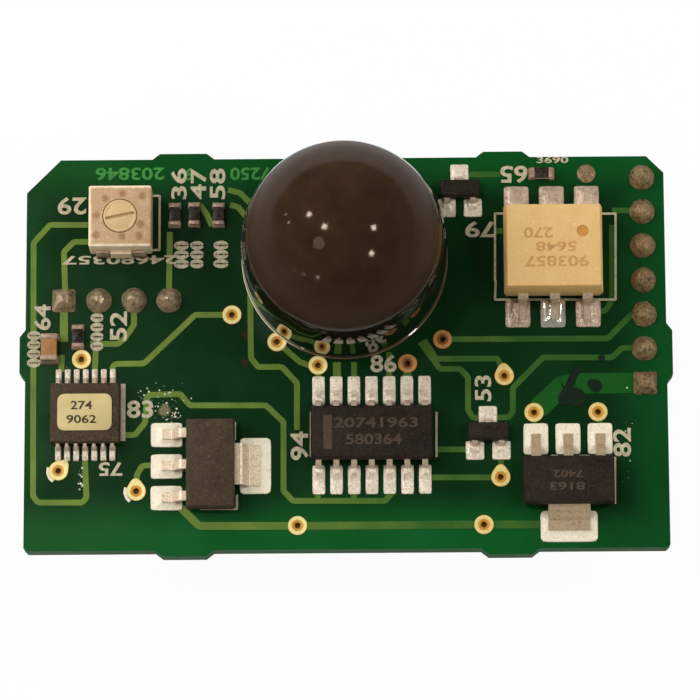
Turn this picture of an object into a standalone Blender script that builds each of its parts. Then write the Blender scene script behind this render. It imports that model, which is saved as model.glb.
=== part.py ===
"""Presence detector board: a plug-in circuit board that carries a motion sensor under a dome lens.

The board's underside is at z = 0 with its centre at the origin. Its long side lies along X.
The dome, the chips and the trimmer stand on the top side, the two pin headers hang below it.
"""

import math
from dataclasses import dataclass

import bmesh
import bpy
from mathutils import Matrix, Vector

MM = 0.001

# Clearances
SEAT = 0.02 * MM
HOLE_CLEARANCE = 0.06 * MM
ROTOR_CLEARANCE = 0.05 * MM
EMBED = 0.15 * MM
WELD = 0.001 * MM

# Board
BOARD_LENGTH = 46.2 * MM
BOARD_WIDTH = 28.8 * MM
BOARD_THICKNESS = 1.6 * MM
LEFT_CORNER_CUT = 2.45 * MM
RIGHT_CORNER_CUT = 1.25 * MM
FRONT_CORNER_CUT = 0.25 * MM
STUB_OUT = 0.42 * MM
STUB_RAMP = 0.55 * MM
STUB_ROOT = 0.6 * MM
BACK_STUBS = ((-14.0 * MM, -9.5 * MM), (9.5 * MM, 13.4 * MM))
FRONT_STUBS = ((-13.7 * MM, -9.5 * MM), (9.6 * MM, 13.8 * MM))
LEFT_STUB = (-1.9 * MM, 1.8 * MM)
RIGHT_STUB = (-2.3 * MM, 2.0 * MM)

# Copper and solder on the board's top side
PAD_HEIGHT = 0.06 * MM
PAD_SINK = 0.3 * MM
VIA_RING_RADIUS = 0.68 * MM
VIA_HOLE_RADIUS = 0.27 * MM
VIA_SIDES = 12
LEFT_VIAS = (
    (4.06 * MM, 13.99 * MM),
    (14.9 * MM, 17.2 * MM),
    (2.46 * MM, 5.83 * MM),
    (8.05 * MM, 4.32 * MM),
)
MIDDLE_VIAS = (
    (-3.5 * MM, 1.75 * MM),
    (9.82 * MM, 1.73 * MM),
    (-2.0 * MM, 13.44 * MM),
    (-4.95 * MM, 15.18 * MM),
    (4.44 * MM, 13.53 * MM),
    (6.97 * MM, 15.28 * MM),
)
RIGHT_VIAS = (
    (11.71 * MM, 12.57 * MM),
    (12.04 * MM, 5.17 * MM),
    (9.61 * MM, 9.87 * MM),
    (5.02 * MM, 9.88 * MM),
)
BACK_VIA = (5.61 * MM, 1.3 * MM)

# Dome lens cap, from the board's top side
LENS_FROM_MIDDLE = -0.05 * MM
LENS_FROM_BACK = 7.5 * MM
LENS_RADIUS = 7.36 * MM
LENS_WALL = 0.85 * MM
LENS_COLLAR = 4.8 * MM
LENS_FOOT_RADIUS = 7.45 * MM
LENS_FOOT_HEIGHT = 0.3 * MM
LENS_STEP = 0.05 * MM
LENS_ZONE_ANGLE = math.radians(28.0)
LENS_SIDES = 48

# Motion sensor under the dome
SENSOR_SIDES = 24
SENSOR_BASE_RADIUS = 4.6 * MM
SENSOR_BASE_THICKNESS = 0.45 * MM
SENSOR_PLATFORM_RADIUS = 3.75 * MM
SENSOR_PLATFORM_HEIGHT = 0.6 * MM
SENSOR_TAB_WIDTH = 0.85 * MM
SENSOR_TAB_OUT = 0.8 * MM
SENSOR_TAB_TURN = math.radians(45.0)
CAN_RADIUS = 4.1 * MM
CAN_HEIGHT = 4.2 * MM
CAN_WALL = 0.25 * MM
CAN_BRIM_RADIUS = 4.5 * MM
CAN_ROUND = 0.35 * MM
WINDOW_LENGTH = 4.0 * MM
WINDOW_WIDTH = 3.2 * MM
WINDOW_OPENING_MARGIN = 0.35 * MM
WINDOW_THICKNESS = 0.5 * MM
ELEMENT_LENGTH = 3.2 * MM
ELEMENT_WIDTH = 2.4 * MM
ELEMENT_THICKNESS = 0.3 * MM
ELEMENT_POST_LENGTH = 1.4 * MM
ELEMENT_POST_WIDTH = 1.0 * MM
ELEMENT_HEIGHT = 1.5 * MM
SENSOR_LEAD_RADIUS = 0.225 * MM
SENSOR_LEAD_CIRCLE = 2.54 * MM
SENSOR_LEAD_ABOVE = 0.5 * MM
SENSOR_LEAD_BELOW = 1.1 * MM
SENSOR_LEAD_ANGLES = (math.radians(-135.0), math.radians(-45.0), math.radians(135.0))

# Pin headers under the board
PIN_PITCH = 2.54 * MM
PIN_WIDTH = 0.64 * MM
PIN_BELOW = 6.0 * MM
PIN_ABOVE = 0.55 * MM
PIN_TIP = 0.5 * MM
PIN_TIP_WIDTH = 0.34 * MM
HOUSING_WIDTH = 2.5 * MM
HOUSING_HEIGHT = 2.54 * MM
HOUSING_NOTCH = 0.5 * MM
PIN_HOLE_RADIUS = 0.51 * MM
PIN_JOINT_RADIUS = 0.88 * MM
PIN_JOINT_HEIGHT = 0.75 * MM
LONG_HEADER_PINS = 7
LONG_HEADER_FROM_RIGHT = 1.6 * MM
LONG_HEADER_FROM_BACK = 1.6 * MM
SHORT_HEADER_PINS = 4
SHORT_HEADER_FROM_LEFT = 2.75 * MM
SHORT_HEADER_FROM_BACK = 10.48 * MM

# Trimmer
TRIMMER_FROM_LEFT = 6.92 * MM
TRIMMER_FROM_BACK = 4.83 * MM
TRIMMER_SIDE = 4.5 * MM
TRIMMER_HEIGHT = 2.45 * MM
TRIMMER_CHAMFER = 0.12 * MM
TRIMMER_NUB_WIDTH = 1.6 * MM
TRIMMER_NUB_OUT = 0.3 * MM
TRIMMER_NUB_HEIGHT = 1.1 * MM
TERMINAL_WIDTH = 0.9 * MM
TERMINAL_THICKNESS = 0.15 * MM
TERMINAL_HEIGHT = 1.3 * MM
TERMINAL_FOOT = 0.7 * MM
TERMINAL_SPREAD = 2.7 * MM
ROTOR_RADIUS = 1.2 * MM
ROTOR_THICKNESS = 0.5 * MM
ROTOR_PROUD = 0.06 * MM
ROTOR_EDGE = 0.08 * MM
ROTOR_POST_RADIUS = 0.45 * MM
ROTOR_POST_LENGTH = 0.8 * MM
ROTOR_SLOT_WIDTH = 0.26 * MM
ROTOR_SLOT_DEPTH = 0.25 * MM
ROTOR_SLOT_LENGTH = 2.15 * MM
ROTOR_SLOT_TURN = math.radians(11.0)
ROTOR_SIDES = 24

# Chip resistors and the chip capacitor
UPRIGHT_RESISTORS = (
    (3.79 * MM, 13.18 * MM),
    (10.75 * MM, 4.2 * MM),
    (12.16 * MM, 4.17 * MM),
    (13.93 * MM, 4.2 * MM),
)
FLAT_RESISTOR = (8.85 * MM, 1.3 * MM)
CHIP_PAD_OUT = 0.12 * MM
CHIP_PAD_IN = 0.1 * MM
RESISTOR_LENGTH = 1.6 * MM
RESISTOR_WIDTH = 0.8 * MM
RESISTOR_HEIGHT = 0.45 * MM
RESISTOR_CAP = 0.3 * MM
RESISTOR_COAT_DROP = 0.03 * MM
CAPACITOR_LENGTH = 1.95 * MM
CAPACITOR_WIDTH = 1.2 * MM
CAPACITOR_HEIGHT = 0.9 * MM
CAPACITOR_CAP = 0.4 * MM
CAPACITOR_CAP_PROUD = 0.03 * MM
CAPACITOR_FROM_LEFT = 1.75 * MM
CAPACITOR_FROM_BACK = 14.04 * MM

# Label on the small chip
LABEL_LENGTH = 3.9 * MM
LABEL_WIDTH = 2.67 * MM
LABEL_THICKNESS = 0.08 * MM
LABEL_CORNER = 0.5 * MM
LABEL_CORNER_STEPS = 4

# Relay mark
RELAY_DOT_RADIUS = 0.42 * MM
RELAY_DOT_DEPTH = 0.08 * MM
RELAY_DOT_PLACE = (2.08 * MM, 1.0 * MM)
RELAY_SHOULDER_WIDTH = 0.85 * MM
RELAY_OUTER_SHIFTS = (0.35 * MM, 0.1 * MM, -0.1 * MM)

# Moulded packages
MOULD_DRAFT = math.radians(7.0)
BEND_STEPS = 3


@dataclass(frozen=True)
class Package:
    """A moulded body with formed leads along its two sides, which face front and back."""

    length: float
    width: float
    standoff: float
    height: float
    lead_width: float
    lead_thickness: float
    lead_out: float
    foot: float
    bend: float
    shoulder: float
    pad_length: float
    pad_width: float
    pad_out: float

    @property
    def lead_span(self):
        """From one lead's tip to the opposite one's."""
        return self.width + 2 * self.lead_out

    @property
    def pad_span(self):
        """From one pad's outer end to the opposite one's."""
        return self.lead_span + 2 * self.pad_out


SMALL_CHIP = Package(
    length=5.0 * MM,
    width=4.4 * MM,
    standoff=0.1 * MM,
    height=1.0 * MM,
    lead_width=0.25 * MM,
    lead_thickness=0.14 * MM,
    lead_out=1.0 * MM,
    foot=0.5 * MM,
    bend=0.12 * MM,
    shoulder=0.22 * MM,
    pad_length=1.1 * MM,
    pad_width=0.4 * MM,
    pad_out=0.15 * MM,
)
LARGE_CHIP = Package(
    length=8.75 * MM,
    width=3.9 * MM,
    standoff=0.12 * MM,
    height=1.45 * MM,
    lead_width=0.42 * MM,
    lead_thickness=0.2 * MM,
    lead_out=1.05 * MM,
    foot=0.55 * MM,
    bend=0.18 * MM,
    shoulder=0.3 * MM,
    pad_length=2.0 * MM,
    pad_width=0.78 * MM,
    pad_out=1.25 * MM,
)
REGULATOR = Package(
    length=6.5 * MM,
    width=3.5 * MM,
    standoff=0.1 * MM,
    height=1.6 * MM,
    lead_width=0.7 * MM,
    lead_thickness=0.28 * MM,
    lead_out=1.75 * MM,
    foot=0.8 * MM,
    bend=0.25 * MM,
    shoulder=0.45 * MM,
    pad_length=2.15 * MM,
    pad_width=1.65 * MM,
    pad_out=0.75 * MM,
)
TRANSISTOR = Package(
    length=2.9 * MM,
    width=1.3 * MM,
    standoff=0.06 * MM,
    height=1.0 * MM,
    lead_width=0.42 * MM,
    lead_thickness=0.13 * MM,
    lead_out=0.6 * MM,
    foot=0.25 * MM,
    bend=0.1 * MM,
    shoulder=0.2 * MM,
    pad_length=1.25 * MM,
    pad_width=1.2 * MM,
    pad_out=0.65 * MM,
)
RELAY = Package(
    length=7.1 * MM,
    width=6.4 * MM,
    standoff=0.35 * MM,
    height=3.4 * MM,
    lead_width=0.65 * MM,
    lead_thickness=0.25 * MM,
    lead_out=1.5 * MM,
    foot=1.15 * MM,
    bend=0.25 * MM,
    shoulder=0.3 * MM,
    pad_length=1.95 * MM,
    pad_width=1.68 * MM,
    pad_out=0.475 * MM,
)

SMALL_CHIP_PITCH = 0.65 * MM
LARGE_CHIP_PITCH = 1.27 * MM
CHIP_LEADS = 7
REGULATOR_PITCH = 2.3 * MM
REGULATOR_TAB_WIDTH = 3.0 * MM
REGULATOR_TAB_DEPTH = 0.6 * MM
REGULATOR_TAB_PAD = 3.95 * MM
TRANSISTOR_SPREAD = 1.9 * MM
RELAY_PITCH = 2.54 * MM

SMALL_CHIP_FROM_LEFT = 4.38 * MM
SMALL_CHIP_FROM_FRONT = 9.9 * MM
LARGE_CHIP_FROM_MIDDLE = 1.84 * MM
LARGE_CHIP_FROM_FRONT = 8.3 * MM
LEFT_REGULATOR_FROM_LEFT = 13.4 * MM
LEFT_REGULATOR_FROM_FRONT = 6.1 * MM
RIGHT_REGULATOR_FROM_RIGHT = 7.2 * MM
RIGHT_REGULATOR_FROM_FRONT = 4.75 * MM
UPPER_TRANSISTOR_FROM_RIGHT = 14.8 * MM
UPPER_TRANSISTOR_FROM_BACK = 2.5 * MM
LOWER_TRANSISTOR_FROM_RIGHT = 12.92 * MM
LOWER_TRANSISTOR_FROM_FRONT = 8.4 * MM
RELAY_FROM_RIGHT = 8.15 * MM
RELAY_FROM_BACK = 7.45 * MM

# Finishes as colour, roughness and metallic value
SOLDER_MASK = ((0.02, 0.16, 0.05), 0.35, 0.0)
DARK_DOME = ((0.05, 0.035, 0.028), 0.3, 0.0)
STEEL = ((0.62, 0.62, 0.6), 0.35, 1.0)
FILTER = ((0.12, 0.12, 0.13), 0.15, 0.0)
WHITE_CERAMIC = ((0.8, 0.78, 0.72), 0.6, 0.0)
DARK_MOULDING = ((0.07, 0.05, 0.045), 0.55, 0.0)
BLACK_MOULDING = ((0.02, 0.02, 0.02), 0.6, 0.0)
CREAM_MOULDING = ((0.83, 0.67, 0.4), 0.5, 0.0)
TINNED = ((0.72, 0.66, 0.6), 0.35, 1.0)
BRASS_PIN = ((0.75, 0.66, 0.45), 0.3, 1.0)
PAPER = ((0.72, 0.64, 0.45), 0.8, 0.0)
TRIMMER_BODY = ((0.62, 0.47, 0.38), 0.5, 0.0)
ROTOR_BODY = ((0.72, 0.58, 0.4), 0.5, 0.0)
TAN_CERAMIC = ((0.6, 0.42, 0.24), 0.5, 0.0)


def remove_old_objects():
    """Empty the scene."""
    for old in list(bpy.data.objects):
        bpy.data.objects.remove(old, do_unlink=True)


def new_collection(name):
    made = bpy.data.collections.new(name)
    bpy.context.scene.collection.children.link(made)
    return made


remove_old_objects()
PARTS = new_collection("presence_detector_board")
TOOLS = new_collection("cutters")


def from_left(distance):
    return distance - BOARD_LENGTH / 2


def from_right(distance):
    return BOARD_LENGTH / 2 - distance


def from_front(distance):
    return distance - BOARD_WIDTH / 2


def from_back(distance):
    return BOARD_WIDTH / 2 - distance


BOARD_TOP = BOARD_THICKNESS
PAD_TOP = BOARD_TOP + PAD_HEIGHT
FOOT_BOTTOM = PAD_TOP + SEAT


def new_object(name, mesh, place, location=(0, 0, 0), turn=0.0):
    made = bpy.data.objects.new(name, mesh)
    place.objects.link(made)
    made.location = location
    made.rotation_euler = (0, 0, turn)
    return made


def finish(piece, look):
    """Give a piece its own material, and smooth shading where its faces meet at a slight angle."""
    colour, roughness, metallic = look
    made = bpy.data.materials.new(piece.name + "_finish")
    made.use_nodes = True
    shader = made.node_tree.nodes["Principled BSDF"]
    shader.inputs["Base Color"].default_value = (*colour, 1.0)
    shader.inputs["Roughness"].default_value = roughness
    shader.inputs["Metallic"].default_value = metallic
    piece.data.materials.clear()
    piece.data.materials.append(made)
    piece.data.shade_smooth()
    piece.data.set_sharp_from_angle(angle=math.radians(30))
    return piece


def mesh_of(bm, name):
    mesh = bpy.data.meshes.new(name)
    bm.to_mesh(mesh)
    bm.free()
    return mesh


def as_tool(piece):
    """Mark an object as one that only shapes others."""
    piece.hide_render = True
    piece.display_type = "WIRE"
    return piece


def combine(piece, operation, tool, crossing=False):
    """Join or cut with a tool; crossing says that shapes of the tool may run into each other."""
    step = piece.modifiers.new(operation.lower(), "BOOLEAN")
    step.operation = operation
    step.solver = "EXACT"
    step.use_self = crossing
    step.object = tool


def evaluated_mesh(piece):
    depsgraph = bpy.context.evaluated_depsgraph_get()
    return bpy.data.meshes.new_from_object(piece.evaluated_get(depsgraph))


def box(low, high):
    """A bmesh box between two corners."""
    bm = bmesh.new()
    size = Vector(high) - Vector(low)
    middle = (Vector(high) + Vector(low)) / 2
    place = Matrix.Translation(middle) @ Matrix.Diagonal((*size, 1.0))
    bmesh.ops.create_cube(bm, size=1.0, matrix=place)
    return bm


def add_mesh(bm, mesh, place):
    """Add a placed copy of a mesh to a bmesh."""
    before = len(bm.verts)
    bm.from_mesh(mesh)
    bm.verts.ensure_lookup_table()
    bmesh.ops.transform(bm, matrix=place, verts=bm.verts[before:])


def circle(radius, sides, centre=(0.0, 0.0)):
    """Points round a circle, anticlockwise."""
    points = []
    for index in range(sides):
        angle = 2 * math.pi * (index + 0.5) / sides
        points.append((centre[0] + radius * math.cos(angle), centre[1] + radius * math.sin(angle)))
    return points


def plate(loops, bottom, top):
    """A flat plate as a bmesh: the first loop is its edge, and any others are openings in it."""
    curve = bpy.data.curves.new("outline", "CURVE")
    curve.dimensions = "2D"
    curve.fill_mode = "BOTH"
    curve.extrude = (top - bottom) / 2
    for loop in loops:
        spline = curve.splines.new("POLY")
        spline.points.add(len(loop) - 1)
        for point, (x, y) in zip(spline.points, loop):
            point.co = (x, y, 0, 1)
        spline.use_cyclic_u = True
    shape = new_object("outline", curve, TOOLS)
    mesh = evaluated_mesh(shape)
    bpy.data.objects.remove(shape, do_unlink=True)
    bm = bmesh.new()
    bm.from_mesh(mesh)
    bmesh.ops.remove_doubles(bm, verts=bm.verts, dist=WELD)
    bmesh.ops.translate(bm, verts=bm.verts, vec=(0, 0, (top + bottom) / 2))
    bmesh.ops.recalc_face_normals(bm, faces=bm.faces)
    return bm


def upright(loop, width):
    """A strip cut from plate and stood up: the outline's Y becomes Z, and its width lies along Y."""
    bm = plate([loop], -width / 2, width / 2)
    bmesh.ops.rotate(bm, verts=bm.verts, matrix=Matrix.Rotation(math.pi / 2, 3, "X"))
    return bm


def rounded(points, radius):
    """A line with each inner corner made an arc."""
    line = [Vector(points[0])]
    for before, corner, after in zip(points, points[1:], points[2:]):
        corner = Vector(corner)
        inward = (Vector(before) - corner).normalized()
        outward = (Vector(after) - corner).normalized()
        half = inward.angle(outward) / 2
        cut = radius / math.tan(half)
        centre = corner + (inward + outward).normalized() * (radius / math.sin(half))
        start = corner + inward * cut - centre
        sweep = start.angle_signed(corner + outward * cut - centre)
        for step in range(BEND_STEPS + 1):
            spoke = start.copy()
            spoke.rotate(Matrix.Rotation(-sweep * step / BEND_STEPS, 2))
            line.append(centre + spoke)
    line.append(Vector(points[-1]))
    return line


def strip(line, thickness):
    """The outline of a strip that follows a line, mitred at its corners."""
    left = []
    right = []
    for index, point in enumerate(line):
        ahead = (line[min(index + 1, len(line) - 1)] - point).normalized()
        behind = (point - line[max(index - 1, 0)]).normalized()
        if index == 0:
            behind = ahead
        if index == len(line) - 1:
            ahead = behind
        along = (ahead + behind).normalized()
        across = Vector((-along.y, along.x))
        reach = thickness / 2 / max(across.dot(Vector((-ahead.y, ahead.x))), 0.5)
        left.append(point + across * reach)
        right.append(point - across * reach)
    return [(p.x, p.y) for p in right + left[::-1]]


def turned(name, profile, sides, place=None):
    """A solid of revolution about Z; the profile runs from the axis down the outer side."""
    bm = bmesh.new()
    spots = [bm.verts.new((radius, 0, height)) for radius, height in profile]
    for first, second in zip(spots, spots[1:]):
        bm.edges.new((first, second))
    piece = new_object(name, mesh_of(bm, name), place or PARTS)
    screw = piece.modifiers.new("turn", "SCREW")
    screw.axis = "Z"
    screw.angle = 2 * math.pi
    screw.steps = sides
    screw.render_steps = sides
    screw.use_merge_vertices = True
    screw.merge_threshold = WELD
    return piece


def arc(centre_height, radius, start, end, steps):
    """Profile points on a circle about the axis, by angle above its centre."""
    points = []
    for step in range(steps + 1):
        angle = start + (end - start) * step / steps
        points.append((radius * math.cos(angle), centre_height + radius * math.sin(angle)))
    return points


# Moulded packages and their leads


def body_bottom(package):
    return BOARD_TOP + package.standoff


def body_top(package):
    return body_bottom(package) + package.height


def lead_exit(package):
    return body_bottom(package) + package.height / 2


def moulded_body(package):
    """A body whose sides lean in by the mould's draft above and below the parting line."""
    bottom = body_bottom(package)
    half = Vector((package.length / 2, package.width / 2, 0))
    bm = box((-half.x, -half.y, bottom), (half.x, half.y, body_top(package)))
    everything = bm.verts[:] + bm.edges[:] + bm.faces[:]
    parting = lead_exit(package)
    bmesh.ops.bisect_plane(bm, geom=everything, plane_co=(0, 0, parting), plane_no=(0, 0, 1))
    for corner in bm.verts:
        inset = abs(corner.co.z - parting) * math.tan(MOULD_DRAFT)
        corner.co.x -= math.copysign(inset, corner.co.x)
        corner.co.y -= math.copysign(inset, corner.co.y)
    return bm


def lead_line(package, root):
    """A formed lead's middle line, outward along X: out of the body, down, and along the pad."""
    foot_height = FOOT_BOTTOM + package.lead_thickness / 2
    tip = package.lead_span / 2
    heel = tip - package.foot
    shoulder = package.width / 2 + package.shoulder
    return [
        (root, lead_exit(package)),
        (min(shoulder, heel), lead_exit(package)),
        (heel, foot_height),
        (tip, foot_height),
    ]


def lead_mesh(package, name, width=None, root=None):
    """One lead, pointing along +X from the package's middle line."""
    start = package.width / 2 + SEAT if root is None else root
    outline = strip(rounded(lead_line(package, start), package.bend), package.lead_thickness)
    return mesh_of(upright(outline, width or package.lead_width), name)


def side_turn(side):
    """The turn that points a lead to the back or to the front."""
    return side * math.pi / 2


def lead_row(count, pitch):
    """Places along a row, centred on zero."""
    return [(index - (count - 1) / 2) * pitch for index in range(count)]


def chip_with_leads(name, package, pitch, where):
    """A moulded chip and the leads on its two sides, as one solid."""
    lead = lead_mesh(package, name + "_lead", root=package.width / 2 - EMBED)
    rows = bmesh.new()
    for side in (1, -1):
        for along in lead_row(CHIP_LEADS, pitch):
            place = Matrix.Translation((along, 0, 0)) @ Matrix.Rotation(side_turn(side), 4, "Z")
            add_mesh(rows, lead, place)
    leads = as_tool(new_object(name + "_leads", mesh_of(rows, name + "_leads"), TOOLS, where))
    chip = new_object(name, mesh_of(moulded_body(package), name), PARTS, where)
    combine(chip, "UNION", leads)
    return finish(chip, DARK_MOULDING)


def package_piece(name, mesh, where, turn, look):
    return finish(new_object(name, mesh, PARTS, where, turn), look)


def placed(where, turn, along, side):
    """Where a lead stands, and its own turn, on a package that is turned itself."""
    spot = Vector(where) + Matrix.Rotation(turn, 3, "Z") @ Vector((along, 0, 0))
    return spot, turn + side_turn(side)


def add_lead(name, mesh, where, turn, along, side):
    spot, heading = placed(where, turn, along, side)
    package_piece(name, mesh.copy(), spot, heading, TINNED)


def tab_pocket(inner):
    """The space in a regulator's body for its tab and centre lead."""
    half = REGULATOR.lead_thickness / 2 + SEAT
    low = lead_exit(REGULATOR) - half
    high = lead_exit(REGULATOR) + half
    wide = REGULATOR_TAB_WIDTH / 2 + SEAT
    narrow = REGULATOR.lead_width / 2 + SEAT
    pocket = box((-wide, -REGULATOR.width, low), (wide, SEAT - inner, high))
    slot = box((-narrow, -inner - REGULATOR_TAB_DEPTH / 2, low), (narrow, REGULATOR.width, high))
    bar = new_object("pocket_slot", mesh_of(slot, "pocket_slot"), TOOLS)
    space = new_object("pocket", mesh_of(pocket, "pocket"), TOOLS)
    combine(space, "UNION", bar)
    joined = bmesh.new()
    joined.from_mesh(evaluated_mesh(space))
    bpy.data.objects.remove(space, do_unlink=True)
    bpy.data.objects.remove(bar, do_unlink=True)
    return joined


def regulator(name, where, turn):
    """A regulator: body, two outer leads, and a centre lead in one with the wide tab."""
    body = new_object(name + "_body", mesh_of(moulded_body(REGULATOR), name), PARTS, where, turn)
    lead = lead_mesh(REGULATOR, name + "_lead")
    add_lead(name + "_lead_1", lead, where, turn, -REGULATOR_PITCH, 1)
    add_lead(name + "_lead_2", lead, where, turn, REGULATOR_PITCH, 1)
    inner = REGULATOR.width / 2 - REGULATOR_TAB_DEPTH
    tab_mesh = lead_mesh(REGULATOR, name + "_tab", REGULATOR_TAB_WIDTH, inner)
    tab = new_object(name + "_tab", tab_mesh, PARTS, where, turn + side_turn(-1))
    centre_mesh = lead_mesh(REGULATOR, name + "_centre", root=-inner - REGULATOR_TAB_DEPTH / 2)
    centre = new_object(name + "_centre", centre_mesh, TOOLS, where, turn + side_turn(1))
    combine(tab, "UNION", as_tool(centre))
    finish(tab, TINNED)
    pocket = new_object(name + "_pocket", mesh_of(tab_pocket(inner), name), TOOLS, where, turn)
    combine(body, "DIFFERENCE", as_tool(pocket))
    finish(body, DARK_MOULDING)


def transistor(name, where):
    """A transistor: body, one lead at the back and two in front."""
    body = new_object(name + "_body", mesh_of(moulded_body(TRANSISTOR), name), PARTS, where)
    lead = lead_mesh(TRANSISTOR, name + "_lead")
    add_lead(name + "_lead_1", lead, where, 0, 0, 1)
    add_lead(name + "_lead_2", lead, where, 0, -TRANSISTOR_SPREAD / 2, -1)
    add_lead(name + "_lead_3", lead, where, 0, TRANSISTOR_SPREAD / 2, -1)
    finish(body, DARK_MOULDING)


def relay_lead(name):
    """A relay lead: a wide shoulder out of the body and a narrow leg down to the pad."""
    start = RELAY.width / 2 + SEAT
    leg = new_object(name, lead_mesh(RELAY, name, root=start + SEAT), TOOLS)
    line = lead_line(RELAY, start)
    drop = line[1][1] - RELAY.lead_thickness * 2
    wide_line = rounded([line[0], line[1], (line[1][0], drop)], RELAY.bend)
    wide = upright(strip(wide_line, RELAY.lead_thickness + 2 * SEAT), RELAY_SHOULDER_WIDTH)
    shoulder = as_tool(new_object(name + "_shoulder", mesh_of(wide, name), TOOLS))
    combine(leg, "UNION", shoulder)
    mesh = evaluated_mesh(leg)
    bpy.data.objects.remove(leg, do_unlink=True)
    bpy.data.objects.remove(shoulder, do_unlink=True)
    return mesh


def relay(where):
    """The relay: a cream body with a round mark, and six leads."""
    body = new_object("relay_body", mesh_of(moulded_body(RELAY), "relay_body"), PARTS, where)
    top = body_top(RELAY)
    dot = plate([circle(RELAY_DOT_RADIUS, 16)], top - RELAY_DOT_DEPTH, top + RELAY_DOT_DEPTH)
    spot = Vector(where) + Vector((*RELAY_DOT_PLACE, 0))
    mark = as_tool(new_object("relay_mark", mesh_of(dot, "relay_mark"), TOOLS, spot))
    combine(body, "DIFFERENCE", mark)
    finish(body, CREAM_MOULDING)
    lead = relay_lead("relay_lead")
    number = 0
    for side in (1, -1):
        for along, shift in zip(lead_row(3, RELAY_PITCH), RELAY_OUTER_SHIFTS):
            number += 1
            add_lead(f"relay_lead_{number}", lead, where, 0, along + shift * (side == -1), side)


# Places of the packages on the board

SMALL_CHIP_PLACE = (from_left(SMALL_CHIP_FROM_LEFT), from_front(SMALL_CHIP_FROM_FRONT), 0)
LARGE_CHIP_PLACE = (LARGE_CHIP_FROM_MIDDLE, from_front(LARGE_CHIP_FROM_FRONT), 0)
LEFT_REGULATOR_PLACE = (from_left(LEFT_REGULATOR_FROM_LEFT), from_front(LEFT_REGULATOR_FROM_FRONT), 0)
RIGHT_REGULATOR_PLACE = (
    from_right(RIGHT_REGULATOR_FROM_RIGHT),
    from_front(RIGHT_REGULATOR_FROM_FRONT),
    0,
)
UPPER_TRANSISTOR_PLACE = (
    from_right(UPPER_TRANSISTOR_FROM_RIGHT),
    from_back(UPPER_TRANSISTOR_FROM_BACK),
    0,
)
LOWER_TRANSISTOR_PLACE = (
    from_right(LOWER_TRANSISTOR_FROM_RIGHT),
    from_front(LOWER_TRANSISTOR_FROM_FRONT),
    0,
)
RELAY_PLACE = (from_right(RELAY_FROM_RIGHT), from_back(RELAY_FROM_BACK), 0)
TRIMMER_PLACE = (from_left(TRIMMER_FROM_LEFT), from_back(TRIMMER_FROM_BACK), 0)
CAPACITOR_PLACE = (from_left(CAPACITOR_FROM_LEFT), from_back(CAPACITOR_FROM_BACK), 0)
LENS_PLACE = (LENS_FROM_MIDDLE, from_back(LENS_FROM_BACK), 0)
UPRIGHT_TURN = math.pi / 2
RESISTOR_PLACES = tuple(
    ((from_left(left), from_back(back), 0), UPRIGHT_TURN) for left, back in UPRIGHT_RESISTORS
) + (((from_right(FLAT_RESISTOR[0]), from_back(FLAT_RESISTOR[1]), 0), 0.0),)
LEFT_REGULATOR_TURN = math.pi / 2


def long_header_pins():
    """Pin centres down the right edge, from the back."""
    x = from_right(LONG_HEADER_FROM_RIGHT)
    first = from_back(LONG_HEADER_FROM_BACK)
    return [(x, first - index * PIN_PITCH) for index in range(LONG_HEADER_PINS)]


def short_header_pins():
    """Pin centres along X, from the left edge."""
    first = from_left(SHORT_HEADER_FROM_LEFT)
    y = from_back(SHORT_HEADER_FROM_BACK)
    return [(first + index * PIN_PITCH, y) for index in range(SHORT_HEADER_PINS)]


def sensor_lead_places():
    """Lead centres on the sensor's lead circle."""
    places = []
    for angle in SENSOR_LEAD_ANGLES:
        x = LENS_PLACE[0] + SENSOR_LEAD_CIRCLE * math.cos(angle)
        y = LENS_PLACE[1] + SENSOR_LEAD_CIRCLE * math.sin(angle)
        places.append((x, y))
    return places


def via_places():
    places = [(from_left(x), from_front(y)) for x, y in LEFT_VIAS]
    places += [(x, from_front(y)) for x, y in MIDDLE_VIAS]
    places += [(from_right(x), from_front(y)) for x, y in RIGHT_VIAS]
    places.append((from_right(BACK_VIA[0]), from_back(BACK_VIA[1])))
    return places


# Circuit board


def board_outline():
    """The board's edge, anticlockwise from its front left corner."""
    x = BOARD_LENGTH / 2
    y = BOARD_WIDTH / 2
    front = FRONT_CORNER_CUT
    right = RIGHT_CORNER_CUT
    left = LEFT_CORNER_CUT
    return [
        (-x, front - y),
        (front - x, -y),
        (x - front, -y),
        (x, front - y),
        (x, y - right),
        (x - right, y),
        (left - x, y),
        (-x, y - left),
    ]


def stub(edge, turn, start, end):
    """A break-off stub on an edge at the given distance from the middle, as a plate."""
    loop = [
        (start, edge - STUB_ROOT),
        (end, edge - STUB_ROOT),
        (end, edge),
        (end - STUB_RAMP, edge + STUB_OUT),
        (start + STUB_RAMP, edge + STUB_OUT),
        (start, edge),
    ]
    bm = plate([loop], 0, BOARD_THICKNESS)
    bmesh.ops.rotate(bm, verts=bm.verts, matrix=Matrix.Rotation(turn, 3, "Z"))
    return bm


def board_stubs():
    """The stubs left where the board was broken out of its panel."""
    stubs = bmesh.new()
    back = BOARD_WIDTH / 2
    side = BOARD_LENGTH / 2
    shapes = [stub(back, 0.0, start, end) for start, end in BACK_STUBS]
    shapes += [stub(back, math.pi, -end, -start) for start, end in FRONT_STUBS]
    shapes.append(stub(side, math.pi / 2, *LEFT_STUB))
    low, high = RIGHT_STUB
    shapes.append(stub(side, -math.pi / 2, -high, -low))
    for shape in shapes:
        add_mesh(stubs, mesh_of(shape, "stub"), Matrix.Identity(4))
    return stubs


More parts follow.
